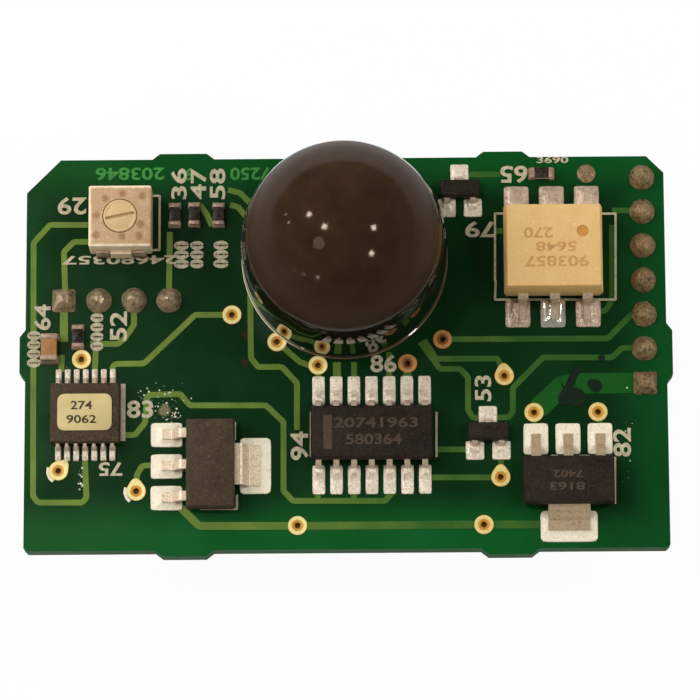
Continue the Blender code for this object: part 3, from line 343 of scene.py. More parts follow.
@dataclass(frozen=True)
class SolderMask(Finish):
    """Green solder mask on copper and glass cloth; the cut edge shows the bare laminate."""

    deep: Colour = tone(8, 42, 16)
    clear: Colour = tone(12, 92, 37)
    # dull is the greyer colour of the painted sheen on the board's left part.
    dull: Colour = tone(34, 66, 30)
    laminate: Colour = tone(30, 50, 26)
    scorch: Colour = tone(62, 30, 28)
    residue: Colour = tone(128, 118, 88)
    weave: float = 0.42 * MM

    def brush(self, paint: Paint) -> None:
        """Mask, weave, stains and edge, with painted light: lighter towards the board's borders, darker
        in the middle, and a painted sheen on the left.

        Args:
            paint: The material's tree.
        """
        cloud = paint.noise(6 * MM, 3.0, 3.0)
        fine = paint.noise(0.25 * MM, 8.0, 3.0)
        across = (paint.x * (2 * math.pi / self.weave)).wave()
        along = (paint.y * (2 * math.pi / self.weave)).wave()
        cloth = (across * along) * 0.5 + 0.5
        # Painted light: the mask is lighter towards the board's borders (most at the front, less at the
        # back and right, least at the left) and so darker in its middle.
        front = paint.y.rise(-9.6 * MM, -13.6 * MM) * (1 - paint.x.rise(9 * MM, 21 * MM) * 0.45)
        back = paint.y.rise(10.4 * MM, 14.2 * MM)
        right = paint.x.rise(18.6 * MM, 22.6 * MM)
        left = paint.x.rise(-20.6 * MM, -23.2 * MM)
        border = front.most(back * 0.7).most(right * 0.55).most(left * 0.35)
        share = (border * 0.72 + (cloud - 0.5) * 0.5 + (cloth - 0.5) * 0.04 + 0.03).held()
        colour = paint.mix(share, self.deep, self.clear)
        # Painted sheen: the left part of the board takes the greyer dull colour.
        worn = (paint.x.rise(-8 * MM, -24 * MM) * 0.45 * cloud).held()
        colour = paint.mix(worn, colour, self.dull)
        flux = paint.spot((-13.08 * MM, -4.16 * MM), 0.55 * MM, 0.5, 2.0)
        colour = paint.mix(flux * 0.75, colour, self.residue)
        for place, radius, seed in (((-7.15, 1.31), 0.42, 4.0), ((-7.3, -0.68), 0.4, 5.0)):
            mark = paint.spot((place[0] * MM, place[1] * MM), radius * MM, 0.8, seed)
            colour = paint.mix(mark * 0.8, colour, self.scorch)
        edge = abs(paint.z - BOARD_THICK / 2).rise(0.79 * MM, 0.77 * MM)
        colour = paint.mix(edge, colour, paint.mix(fine, self.laminate, self.clear))
        rough = 0.24 + (cloud - 0.5) * 0.2 + edge * 0.4 + flux * 0.2
        normal = paint.relief(cloth * 0.15 + fine * 0.8, 0.004 * MM)
        paint.surface(colour, rough, normal, Specular_IOR_Level=0.22)


@dataclass(frozen=True)
class MaskOnCopper(Finish):
    """Solder mask over a copper run, lighter and more olive than over the laminate."""

    label: str = "run"
    # fresh and pale mix partly at random and partly as painted light, pale to the left.
    fresh: Colour = tone(46, 90, 30)
    pale: Colour = tone(116, 136, 52)
    # edge is the colour of the painted highlight along the runs' sides.
    edge: Colour = tone(168, 178, 104)
    top: float = BOARD_THICK + 0.026 * MM

    def brush(self, paint: Paint) -> None:
        """Olive mask, with painted light that is lighter on the left and darker on the right, and painted
        highlights along the runs' edges.

        Args:
            paint: The material's tree.
        """
        cloud = paint.noise(2.4 * MM, 12.0, 3.0)
        fine = paint.noise(0.16 * MM, 14.0, 2.0)
        # Painted light: the runs are lighter to the left and darker to the right.
        left = paint.x.rise(6 * MM, -12 * MM)
        right = paint.x.rise(4 * MM, 16 * MM)
        share = (left * 0.5 + (cloud - 0.5) * 0.9 + (fine - 0.5) * 0.35 + 0.18 - right * 0.25).held()
        # Painted highlight: the runs' sloped sides take the edge colour, more strongly where the runs are
        # painted lit.
        edge = (paint.z - self.top).rise(-0.002 * MM, -0.011 * MM)
        worn = (edge * (0.24 + share * 0.5 + (fine - 0.5) * 0.6)).held()
        colour = paint.mix(worn, paint.mix(share, self.fresh, self.pale), self.edge)
        paint.surface(colour, 0.26 + fine * 0.14, paint.relief(fine, 0.008 * MM), Specular_IOR_Level=0.3)


@dataclass(frozen=True)
class Gilt(Finish):
    """Pale gold plating on bare rings, amber towards their holes and dull brown inside them."""

    label: str = "ring"
    bright: Colour = tone(250, 234, 158)
    amber: Colour = tone(214, 152, 50)
    dark: Colour = tone(132, 84, 30)
    metallic: float = 0.3

    def brush(self, paint: Paint) -> None:
        """Pale plating, darker inward and downward.

        Args:
            paint: The material's tree.
        """
        cloud = paint.noise(0.35 * MM, 21.0, 3.0)
        inner = paint.z.rise(1.6775 * MM, 1.668 * MM) + paint.x.rise(5 * MM, 12 * MM) * 0.3
        depth = paint.z.rise(1.656 * MM, 1.6 * MM) * paint.z.rise(0.0, 0.15 * MM)
        colour = paint.mix((inner + (cloud - 0.5) * 0.9).held(), self.bright, self.amber)
        colour = paint.mix(depth, colour, self.dark)
        paint.surface(colour, 0.34 + cloud * 0.15, paint.relief(cloud, 0.01 * MM), self.metallic)


@dataclass(frozen=True)
class Solder(Finish):
    """Tin solder or tin plating: silver with a warm cast, pitted and patchy; its grain is in
    millimetres."""

    label: str
    light: Colour = tone(236, 222, 200)
    shade: Colour = tone(150, 128, 110)
    grain: float = 0.12
    pits: float = 0.02
    rough: float = 0.36
    metallic: float = 0.75
    patches: float = 0.5
    contrast: float = 1.8

    def brush(self, paint: Paint) -> None:
        """Bright metal with darker pits.

        Args:
            paint: The material's tree.
        """
        cloud = paint.noise(0.7 * MM, 31.0, 3.0)
        fine = paint.noise(self.grain * MM, 33.0, 3.0, 0.6)
        pits = paint.grains(self.grain * MM * 2.2, 35.0).rise(0.45, 0.0)
        mottle = (cloud - 0.5) * self.patches * 2
        share = ((fine - 0.5) * self.contrast + mottle + pits * 0.35 + 0.12).held()
        colour = paint.mix(share, self.light, self.shade)
        rough = (self.rough + (cloud - 0.5) * 0.3 + fine * 0.1).held()
        normal = paint.relief(fine + cloud * 0.6 - pits * 0.4, self.pits * MM)
        paint.surface(colour, rough, normal, self.metallic)


@dataclass(frozen=True)
class Moulding(Finish):
    """Filled moulding compound: a fine matt grain with pale specks; its grain is in millimetres."""

    label: str
    base: Colour
    speck: Colour
    specks: float = 0.3
    rough: float = 0.55
    grain: float = 0.12
    mottle: float = 0.25
    contrast: float = 0.9
    bump: float = 0.006

    def brush(self, paint: Paint) -> None:
        """Grain, mottle and specks.

        Args:
            paint: The material's tree.
        """
        fine = paint.noise(self.grain * MM, 41.0, 3.0, 0.65)
        cloud = paint.noise(1.3 * MM, 43.0, 3.0)
        dots = paint.grains(self.grain * MM * 2.6, 45.0).rise(0.3, 0.12)
        patchy = (cloud - 0.5) * self.mottle + (fine - 0.5) * self.contrast
        share = (patchy + dots * self.specks + 0.14).held()
        colour = paint.mix(share, self.base, self.speck)
        rough = (self.rough + (cloud - 0.5) * 0.18 + (fine - 0.5) * 0.12).held()
        normal = paint.relief(fine + dots * 0.3, self.bump * MM)
        paint.surface(colour, rough, normal, Specular_IOR_Level=0.2)


@dataclass(frozen=True)
class DomeSkin(Finish):
    """Dark brown dome: satin on its lens zone, glossy on its collar, with its foot rim painted pale as a
    painted highlight, brightest on the left.
    """

    satin: Colour = tone(44, 29, 18)
    warm: Colour = tone(64, 46, 33)
    collar: Colour = tone(22, 17, 10)
    # rim and lit_rim colour the foot rim as a painted highlight.
    rim: Colour = tone(124, 104, 76)
    lit_rim: Colour = tone(255, 246, 214)
    # Pale colour of the painted reflection and of the motes, which are partly dust and partly painted
    # glints.
    dust: Colour = tone(140, 124, 104)
    # Colour of the painted shade low on the lens zone.
    edge: Colour = tone(44, 24, 12)
    # Centre of the painted reflection on the lens zone.
    smear: Flat = (-1.7 * MM, 5.3 * MM)
    centre: float = -0.05 * MM
    zone_from: float = 9.05 * MM
    dull_from: float = 12.55 * MM
    dull_to: float = 11.1 * MM
    deep_from: float = 12.2 * MM
    deep_to: float = 10.7 * MM
    foot_top: float = 1.98 * MM

    def brush(self, paint: Paint) -> None:
        """Soft mottling over two levels of gloss, with a painted reflection, painted glints, painted
        shade low on the lens zone and a painted highlight on the foot rim.

        Args:
            paint: The material's tree.
        """
        cloud = paint.noise(2.2 * MM, 51.0, 4.0, 0.6)
        fine = paint.noise(0.09 * MM, 53.0, 2.0)
        zone = paint.z.rise(self.zone_from - 0.2 * MM, self.zone_from + 0.2 * MM)
        foot = paint.z.rise(self.foot_top + 0.04 * MM, self.foot_top - 0.02 * MM)
        # Tiny pale motes over the dome, partly dust and partly painted glints.
        glint_motes = paint.grains(1.3 * MM, 57.0).rise(0.06, 0.03)
        outer = zone * paint.z.rise(self.dull_from, self.dull_to)
        # Painted shade: the lens zone darkens towards its lower edge.
        deep = zone * paint.z.rise(self.deep_from, self.deep_to)
        # Painted reflection: a soft pale patch on the lens zone stands for a lamp's reflection.
        smear = paint.spot(self.smear, 0.5 * MM, 0.4, 7.0)
        skin = paint.mix(((cloud - 0.35) * 1.8).held(), self.satin, self.warm)
        skin = paint.mix((smear * cloud * 0.5).most(glint_motes * 0.5), skin, self.dust)
        skin = paint.mix(deep * 0.65, skin, self.edge)
        colour = paint.mix(zone, self.collar, skin)
        # Painted highlight: the foot rim is pale, brightest on its left side, where the main lamp falls.
        lit = (paint.x - self.centre).rise(-2.0 * MM, -6.0 * MM)
        colour = paint.mix(foot, colour, paint.mix(lit, self.rim, self.lit_rim))
        rough = 0.06 + zone * (0.02 + (cloud - 0.5) * 0.05) + outer * 0.34 + foot * 0.4
        normal = paint.relief(fine * 0.25 + cloud * 0.6, 0.006 * MM)
        coat, tint = 0.6 - zone * 0.6, (1.0, 0.8, 0.62, 1.0)
        fixed = {"Specular_IOR_Level": 0.2, "Specular_Tint": tint, "Coat_Roughness": 0.04}
        paint.surface(colour, rough, normal, coat=coat, **fixed)


@dataclass(frozen=True)
class LabelPaper(Finish):
    """Cream label paper, with fibres and age."""

    base: Colour = tone(214, 194, 138)
    aged: Colour = tone(176, 154, 98)

    def brush(self, paint: Paint) -> None:
        """Fibres and age.

        Args:
            paint: The material's tree.
        """
        fibre = paint.noise(0.08 * MM, 61.0, 4.0, 0.7)
        cloud = paint.noise(1.1 * MM, 63.0, 2.0)
        share = ((fibre - 0.5) * 0.7 + (cloud - 0.5) * 0.8 + 0.3).held()
        paint.surface(paint.mix(share, self.base, self.aged), 0.72, paint.relief(fibre, 0.01 * MM))


@dataclass(frozen=True)
class Ink(Finish):
    """Printed or drawn ink, thin in places; its grain is in millimetres."""

    label: str
    full: Colour
    thin: Colour
    grain: float = 0.22
    rough: float = 0.6
    cover: float = 0.35

    def brush(self, paint: Paint) -> None:
        """Uneven cover.

        Args:
            paint: The material's tree.
        """
        cover = paint.noise(self.grain * MM, 71.0, 3.0, 0.6)
        share = ((cover - 0.5) * 1.8 + self.cover).held()
        normal = paint.relief(cover, 0.006 * MM)
        paint.surface(paint.mix(share, self.full, self.thin), self.rough, normal)


@dataclass(frozen=True)
class TrimmerShell(Finish):
    """Tan housing whose left, top and bottom edges are painted pale as painted highlights, with eight
    brown glue spots round its rotor.
    """

    centre: Flat
    base: Colour = tone(188, 152, 114)
    rim: Colour = tone(246, 226, 190)
    brown: Colour = tone(138, 92, 44)
    half: float = 2.25 * MM
    spots: Tuple[Flat, ...] = (
        (-1.06, 1.3), (0.2, 1.66), (1.6, 1.46), (-1.7, 0.04),
        (1.52, -0.6), (-1.7, -1.4), (0.18, -1.5), (1.42, -1.5),
    )

    def brush(self, paint: Paint) -> None:
        """Painted highlights on the edges, and spots.

        Args:
            paint: The material's tree.
        """
        cloud = paint.noise(0.8 * MM, 81.0, 3.0)
        fine = paint.noise(0.13 * MM, 83.0, 2.0)
        across, along = paint.x - self.centre[0], paint.y - self.centre[1]
        # Painted highlights: the housing's left, top and bottom edges take the pale rim colour where the
        # lamps catch them.
        left = (0 - across).most(abs(along)).rise(self.half * 0.88, self.half * 0.97)
        share = (left + (cloud - 0.5) * 1.2 + (fine - 0.5) * 1.1).held()
        colour = paint.mix(share, self.base, self.rim)
        for number, (x, y) in enumerate(self.spots):
            place = (self.centre[0] + x * MM, self.centre[1] + y * MM)
            colour = paint.mix(paint.spot(place, 0.4 * MM, 0.7, number) * 0.7, colour, self.brown)
        paint.surface(colour, 0.42 + cloud * 0.2, paint.relief(fine + cloud, 0.02 * MM))


MASK = SolderMask()
RUNS = MaskOnCopper()
# The pour's last colour is the painted highlight along its sides.
POUR = MaskOnCopper("pour", tone(16, 82, 22), tone(40, 98, 28), tone(96, 140, 62))
GILT = Gilt()
WORN_GILT = Gilt("worn", tone(206, 148, 88), tone(150, 88, 34), tone(104, 60, 22))
PIN_GILT = Gilt("pin", tone(222, 190, 122), tone(214, 180, 112), tone(206, 172, 108), 0.9)
LEAD_TIN = Solder("leads", tone(226, 202, 176), tone(140, 112, 90), 0.1, 0.01, 0.3, 0.45, 0.3, 2.4)
# Lit and shaded copies of one tin: painted light from the left makes the left regulator's leads lighter
# and the right one's darker.
LIT_TIN = Solder("bright", tone(252, 230, 200), tone(164, 136, 108), 0.12, 0.01, 0.3, 0.4, 0.3, 2.6)
SHADED_TIN = Solder("dull", tone(208, 184, 148), tone(112, 88, 60), 0.12, 0.01, 0.3, 0.45, 0.3, 2.4)
PINK_TIN = Solder("pink", tone(190, 160, 138), tone(86, 62, 50), 0.14, 0.04, 0.28, 0.5, 0.5)
PALE_SOLDER = Solder("pale", tone(250, 240, 214), tone(208, 186, 158), 0.14, 0.02, 0.4, 0.15, 0.3)
CHIP_SOLDER = Solder("chip", tone(252, 236, 214), tone(158, 132, 108), 0.14, 0.05, 0.26, 0.35, 0.5)
# Dark rough solder; at the trimmer its dark tones stand for painted shade under the housing.
ROUGH_SOLDER = Solder("rough", tone(160, 132, 94), tone(18, 9, 4), 0.2, 0.1, 0.24, 0.45, 0.7, 4.0)
JOINT_SOLDER = Solder("joint", tone(190, 166, 134), tone(60, 46, 32), 0.28, 0.07, 0.14, 0.6, 0.6, 2.4)
RELAY_SOLDER = Solder("relay", tone(216, 190, 168), tone(112, 84, 70), 0.18, 0.05, 0.26, 0.45, 0.5)
# Near-white solder for one relay pad: its colours are a painted highlight, its low roughness a real
# gloss.
HIGHLIT_SOLDER = Solder("shiny", tone(252, 246, 230), tone(214, 196, 170), 0.5, 0.03, 0.12, 0.7, 0.3)
STEEL = Solder("steel", tone(214, 212, 206), tone(176, 174, 168), 0.2, 0.004, 0.3, 1.0, 0.2)
# CHIP_DARK and CHIP_BROWN, the right and left regulators' mouldings, differ partly in real colour and
# partly as painted light from the left, which makes the left one lighter.
CHIP_DARK = Moulding("chip", tone(22, 15, 10), tone(84, 68, 54))
CHIP_WARM = Moulding("warm", tone(50, 40, 26), tone(124, 104, 78))
CHIP_BROWN = Moulding("brown", tone(54, 41, 29), tone(118, 98, 76))
CHIP_BLACK = Moulding("black", tone(20, 13, 8), tone(86, 70, 54))
HEADER_BLACK = Moulding("header", tone(18, 18, 18), tone(52, 52, 50), 0.1, 0.5)
RELAY_CREAM = Moulding("cream", tone(216, 174, 110), tone(246, 214, 156), 0.3, 0.5, 0.14, 0.4, 0.8)
ROTOR_TAN = Moulding("rotor", tone(206, 172, 122), tone(240, 216, 174), 0.2, 0.4, 0.12, 0.5, 0.8)
BROWN_CERAMIC = Moulding("ceramic", tone(152, 106, 60), tone(202, 160, 112), 0.3, 0.42, 0.12, 0.4)
WHITE_CERAMIC = Moulding("alumina", tone(206, 196, 180), tone(186, 174, 158), 0.3, 0.5, 0.05, 0.3)
RESISTOR_COAT = Moulding("coat", tone(22, 15, 12), tone(110, 92, 82), 0.4, 0.3, 0.14, 0.4, 1.2)
FILTER_DARK = Moulding("filter", tone(58, 58, 64), tone(74, 74, 80), 0.2, 0.12, 0.1, 0.2, 0.3, 0.001)
SILK = Ink("silk", tone(208, 192, 162), tone(128, 128, 100))
RELIEF_MARK = Ink("relief", tone(60, 142, 54), tone(34, 104, 36), 0.3, 0.35)
FAINT = Ink("faint", tone(76, 60, 45), tone(54, 41, 30))
RELAY_MARK = Ink("relay_mark", tone(184, 134, 74), tone(210, 164, 102))
RELAY_DOT = Ink("relay_dot", tone(206, 142, 62), tone(184, 124, 56))
LABEL_INK = Ink("label_ink", tone(52, 46, 28), tone(86, 76, 48), cover=0.2)
MARKER = Ink("marker", tone(12, 22, 16), tone(16, 40, 22), 0.5, 0.3)
SPECK = Ink("speck", tone(240, 236, 216), tone(190, 184, 158), 0.2, 0.4)


# Meshes


def object_of(name: str, data: bpy.types.ID) -> Piece:
    """A new object in the scene.

    Args:
        name: Its name.
        data: Its mesh, text, lamp or camera.

    Returns:
        The object.
    """
    made = bpy.data.objects.new(name, data)
    bpy.context.scene.collection.objects.link(made)
    return made


def final_mesh(piece: Piece) -> bpy.types.Mesh:
    """The plain mesh of an object with its modifiers."""
    ready = piece.evaluated_get(bpy.context.evaluated_depsgraph_get())
    return bpy.data.meshes.new_from_object(ready)


def scaled(pairs: Sequence[Flat], level: float = 0.0) -> List[Flat]:
    """Radius and height of each ring in metres above a level, from millimetres."""
    return [(radius * MM, level + height * MM) for radius, height in pairs]


def shell(name: str, points: Sequence[Sequence[float]], faces: Sequence[Sequence[int]]) -> Piece:
    """A closed solid from points and faces, with its doubles merged and its faces outward.

    Args:
        name: The object's name.
        points: The vertices.
        faces: The faces, as vertex numbers.

    Returns:
        The object.
    """
    mesh = bpy.data.meshes.new(name)
    mesh.from_pydata([tuple(point) for point in points], [], [tuple(face) for face in faces])
    return tidy(object_of(name, mesh))


def tidy(piece: Piece) -> Piece:
    """Merge doubles, point the faces outward and smooth the slight angles.

    Args:
        piece: The piece.

    Returns:
        The same piece.
    """
    work = bmesh.new()
    work.from_mesh(piece.data)
    bmesh.ops.remove_doubles(work, verts=work.verts, dist=WELD)
    bmesh.ops.recalc_face_normals(work, faces=work.faces)
    work.to_mesh(piece.data)
    work.free()
    piece.data.shade_smooth()
    piece.data.set_sharp_from_angle(angle=SMOOTH_ANGLE)
    return piece


def loft(name: str, rings: Sequence[Sequence[Vector]], looped: bool = False) -> Piece:
    """A solid through successive rings with the same number of points.

    Args:
        name: The object's name.
        rings: The rings.
        looped: Whether the last ring joins the first, as in a tube with a hole; else ends are capped.

    Returns:
        The object.
    """
    count = len(rings[0])
    points = [point for ring in rings for point in ring]
    faces = []
    for step in range(len(rings) - (0 if looped else 1)):
        near, far = step * count, (step + 1) % len(rings) * count
        for index in range(count):
            after = (index + 1) % count
            faces.append((near + index, near + after, far + after, far + index))
    if not looped:
        faces.append(tuple(range(count)))
        faces.append(tuple((len(rings) - 1) * count + index for index in range(count)))
    return shell(name, points, faces)


def ring(radius: float, height: float, sides: int) -> List[Vector]:
    """The points of a level circle about Z."""
    turns = (2 * math.pi * index / sides for index in range(sides))
    return [Vector((radius * math.cos(turn), radius * math.sin(turn), height)) for turn in turns]


def lathe(name: str, profile: Sequence[Flat], sides: int) -> Piece:
    """A turned solid about Z, from the radius and height of each ring."""
    return loft(name, [ring(radius, height, sides) for radius, height in profile])


def rounded_ring(half_x: float, half_y: float, corner: float, height: float) -> List[Vector]:
    """A level rectangle with round corners.

    Args:
        half_x: Half its length.
        half_y: Half its width.
        corner: Its corner radius.
        height: Its height.

    Returns:
        The points.
    """
    points = []
    for quarter, (side_x, side_y) in enumerate(((1, 1), (-1, 1), (-1, -1), (1, -1))):
        centre = Vector((side_x * (half_x - corner), side_y * (half_y - corner), height))
        for step in range(CORNER_STEPS + 1):
            turn = (quarter + step / CORNER_STEPS) * math.pi / 2
            points.append(centre + Vector((math.cos(turn), math.sin(turn), 0)) * corner)
    return points


def pillow(name: str, half: Flat, levels: Sequence[Flat], corner: float) -> Piece:
    """A block with round corners whose outline draws in from level to level.

    Args:
        name: The object's name.
        half: Half its length and width.
        levels: Height and inset of each level, from below.
        corner: Its corner radius.

    Returns:
        The object.
    """
    rings = []
    for height, inset in levels:
        round_by = max(corner - inset * 0.3, corner * 0.4)
        rings.append(rounded_ring(half[0] - inset, half[1] - inset, round_by, height))
    return loft(name, rings)


def rounded_line(points: Line, radius: float) -> List[Vector]:
    """A flat line with each inner corner made an arc.

    Args:
        points: The line's corners.
        radius: The arcs' radius.

    Returns:
        The points of the line.
    """
    line = [Vector(points[0])]
    for before, here, after in zip(points, points[1:], points[2:]):
        corner = Vector(here)
        inward = (Vector(before) - corner).normalized()
        outward = (Vector(after) - corner).normalized()
        half = inward.angle(outward) / 2
        cut = radius / math.tan(half)
        centre = corner + (inward + outward).normalized() * (radius / math.sin(half))
        start = corner + inward * cut - centre
        sweep = start.angle_signed(corner + outward * cut - centre)
        for step in range(ARC_STEPS + 1):
            spoke = start.copy()
            spoke.rotate(Matrix.Rotation(-sweep * step / ARC_STEPS, 2))
            line.append(centre + spoke)
    line.append(Vector(points[-1]))
    return line


def formed_strip(
    name: str, line: Sequence[Vector], thickness: float, width: Callable[[int], float], edge: float
) -> Piece:
    """A bent strip of sheet metal with broken edges, outward along Y.

    Args:
        name: The object's name.
        line: The strip's middle line as distance along Y and height.
        thickness: The sheet's thickness.
        width: The strip's width at each point of the line, by its number.
        edge: How far the edges are broken.

    Returns:
        The object.
    """
    rings = []
    for index, point in enumerate(line):
        ahead = (line[min(index + 1, len(line) - 1)] - line[max(index - 1, 0)]).normalized()
        up = Vector((-ahead.y, ahead.x))
        half, thick = width(index) / 2, thickness / 2
        section = (
            (half - edge, thick), (half, thick - edge), (half, edge - thick), (half - edge, -thick),
            (edge - half, -thick), (-half, edge - thick), (-half, thick - edge), (edge - half, thick),
        )
        rings.append([Vector((x, point.x + up.x * n, point.y + up.y * n)) for x, n in section])
    return loft(name, rings)


def moved(piece: Piece, place: Matrix) -> Piece:
    """Put a place into a piece's mesh.

    Args:
        piece: The piece.
        place: Where it goes.

    Returns:
        The same piece.
    """
    piece.data.transform(place)
    piece.data.update()
    return piece


def joined(name: str, pieces: Sequence[Piece]) -> Piece:
    """One piece from several meshes.

    Args:
        name: The new object's name.
        pieces: The pieces, which go away.

    Returns:
        The object.
    """
    work = bmesh.new()
    for piece in pieces:
        work.from_mesh(piece.data)
        bpy.data.objects.remove(piece, do_unlink=True)
    mesh = bpy.data.meshes.new(name)
    work.to_mesh(mesh)
    work.free()
    made = object_of(name, mesh)
    made.data.shade_smooth()
    made.data.set_sharp_from_angle(angle=SMOOTH_ANGLE)
    return made


def dressed(piece: Piece, finish: Finish) -> Piece:
    """Give a piece its finish.

    Args:
        piece: The piece.
        finish: The finish.

    Returns:
        The same piece.
    """
    piece.data.materials.clear()
    piece.data.materials.append(material(finish))
    return piece


def turn_at(x: float, y: float, turn: float = 0.0) -> Matrix:
    """A place on the board, turned about Z."""
    return Matrix.Translation((x, y, 0)) @ Matrix.Rotation(turn, 4, "Z")


def middle(node: str) -> Flat:
    """The middle of a CAD node, seen from above."""
    low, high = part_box(node)
    return (low[0] + high[0]) / 2, (low[1] + high[1]) / 2


def deliver(
    piece: Piece,
    nodes: Sequence[str] = (),
    finish: Optional[Finish] = None,
    place: Optional[Matrix] = None,
    body: Body = Body.BOARD,
) -> None:
    """Finish and place a piece, tie it to its body and report it.

    Args:
        piece: The piece.
        nodes: The CAD nodes that it stands for.
        finish: Its finish, unless it has one.
        place: Where it goes, unless it is there.
        body: The body that it rides on.
    """
    if place:
        moved(piece, place)
    if finish:
        dressed(piece, finish)
    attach(piece, body.value)
    if nodes:
        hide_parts(*nodes)
    LOG.info("%s: %d faces on %s", piece.name, len(piece.data.polygons), body.value)


# Patterns of Geometry Nodes


class Pattern(ABC):
    """A Geometry Nodes tree with named inputs, which works on a piece and becomes its mesh."""

    inputs: Dict[str, str] = {}

    def __init__(self) -> None:
        """Build the tree."""
        self.group = bpy.data.node_groups.new(type(self).__name__.lower(), "GeometryNodeTree")
        face = self.group.interface
        face.new_socket(name="Geometry", in_out="INPUT", socket_type="NodeSocketGeometry")
        for name, kind in self.inputs.items():
            face.new_socket(name=name, in_out="INPUT", socket_type=kind)
        face.new_socket(name="Material", in_out="INPUT", socket_type="NodeSocketMaterial")
        face.new_socket(name="Geometry", in_out="OUTPUT", socket_type="NodeSocketGeometry")
        self.web = Web(self.group)
        entry = self.group.nodes.new("NodeGroupInput")
        self.entry = {socket.name: Signal(self.web, socket) for socket in entry.outputs if socket.name}
        real = self.web.node("GeometryNodeRealizeInstances", None, {0: self.lay()})
        even = self.web.node("GeometryNodeSetShadeSmooth", None, {0: real})
        inputs = {0: even, "Material": self.entry["Material"]}
        done = self.web.node("GeometryNodeSetMaterial", None, inputs)
        leave = self.group.nodes.new("NodeGroupOutput")
        self.group.links.new(done.socket, leave.inputs[0])

    @abstractmethod
    def lay(self) -> Signal:
        """Add the pattern's own nodes.

        Returns:
            The geometry.
        """

    def kept(self, name: str) -> Signal:
        """A number that each of the piece's points carries."""
        return self.web.node("GeometryNodeInputNamedAttribute", {"data_type": "FLOAT"}, {0: name})

    def start(
        self, name: str, points: Sequence[Any], edges: Sequence[Any], **carried: Sequence[float]
    ) -> Piece:
        """A piece of points and edges for the pattern to work on.

        Args:
            name: Its name.
            points: Its points.
            edges: Its edges, as pairs of point numbers.
            carried: A number for each point, by name.

        Returns:
            The piece.
        """
        mesh = bpy.data.meshes.new(name)
        mesh.from_pydata(points, edges, [])
        for label, column in carried.items():
            values = mesh.attributes.new(label, "FLOAT", "POINT")
            for item, value in zip(values.data, column):
                item.value = value
        return object_of(name, mesh)

    def run(self, piece: Piece, finish: Finish, **values: Any) -> Piece:
        """Work on a piece.

        Args:
            piece: The piece, which keeps its name.
            finish: The finish of the result.
            values: The tree's inputs by name, with underscores for spaces.

        Returns:
            The same piece with the result as its plain mesh.
        """
        step = piece.modifiers.new("pattern", "NODES")
        step.node_group = self.group
        wanted = {name.replace("_", " "): value for name, value in values.items()}
        wanted["Material"] = material(finish)
        for item in self.group.interface.items_tree:
            if item.in_out == "INPUT" and item.name in wanted:
                step[item.identifier] = wanted[item.name]
        mesh = final_mesh(piece)
        piece.modifiers.remove(step)
        piece.data = mesh
        return dressed(tidy(piece), finish)


class Row(Pattern):
    """Copies of the piece in a row along X, with a second row turned to face away if asked."""

    inputs = {
        "Count": "NodeSocketInt",
        "Pitch": "NodeSocketFloat",
        "Both": "NodeSocketBool",
        "Uneven": "NodeSocketFloat",
        "Seed": "NodeSocketFloat",
    }

    def lay(self) -> Signal:
        """A line of points, instances on it, and a little unevenness.

        Returns:
            The geometry.
        """
        web, entry = self.web, self.entry
        half = (entry["Count"] - 1) * entry["Pitch"] * -0.5
        start = web.node("ShaderNodeCombineXYZ", None, {0: half})
        pitch = web.node("ShaderNodeCombineXYZ", None, {0: entry["Pitch"]})
        line_in = {"Count": entry["Count"], "Start Location": start, "Offset": pitch}
        line = web.node("GeometryNodeMeshLine", None, line_in)
        copies = {"Points": line, "Instance": entry["Geometry"]}
        one = web.node("GeometryNodeInstanceOnPoints", None, copies)
        other = web.node("GeometryNodeTransform", None, {0: one, "Rotation": (0.0, 0.0, math.pi)})
        second = web.node("GeometryNodeSwitch", {"input_type": "GEOMETRY"}, {0: entry["Both"], 2: other})
        join = web.tree.nodes.new("GeometryNodeJoinGeometry")
        for part in (one, second):
            web.tree.links.new(part.socket, join.inputs[0])
        real = web.node("GeometryNodeRealizeInstances", None, {0: Signal(web, join.outputs[0])})
        return uneven(web, real, entry["Uneven"], entry["Seed"])


class Scatter(Pattern):
    """Copies of one unit on the piece's points, each with its own turn and size."""

    inputs = {"Unit": "NodeSocketObject", "Uneven": "NodeSocketFloat", "Seed": "NodeSocketFloat"}

    def lay(self) -> Signal:
        """Instances of the unit, turned and sized by the points' attributes.

        Returns:
            The geometry.
        """
        web, entry = self.web, self.entry
        unit = web.node("GeometryNodeObjectInfo", None, {0: entry["Unit"]}, "Geometry")
        turn, size = self.kept("turn"), self.kept("size")
        turned = web.node("ShaderNodeCombineXYZ", None, {2: turn})
        sized = web.node("ShaderNodeCombineXYZ", None, {0: size, 1: size, 2: 1.0})
        inputs = {"Points": entry["Geometry"], "Instance": unit, "Rotation": turned, "Scale": sized}
        spread = web.node("GeometryNodeInstanceOnPoints", None, inputs)
        real = web.node("GeometryNodeRealizeInstances", None, {0: spread})
        return uneven(web, real, entry["Uneven"], entry["Seed"])

    def place(
        self,
        name: str,
        unit: Piece,
        spots: Sequence[Spot],
        finish: Finish,
        unevenness: float = 0.0,
    ) -> Piece:
        """Put copies of a unit at spots.

        Args:
            name: The new piece's name.
            unit: The unit, which goes away.
            spots: X, Y, turn and size of each copy.
            finish: The finish.
            unevenness: How far points wander.

        Returns:
            The new piece.
        """
        xs, ys, turns, sizes = zip(*spots)
        points = [(x, y, 0.0) for x, y in zip(xs, ys)]
        made = self.start(name, points, [], turn=turns, size=sizes)
        seed = float(sum(ord(letter) for letter in name) % 97)
        self.run(made, finish, Unit=unit, Uneven=unevenness, Seed=seed)
        bpy.data.objects.remove(unit, do_unlink=True)
        return made


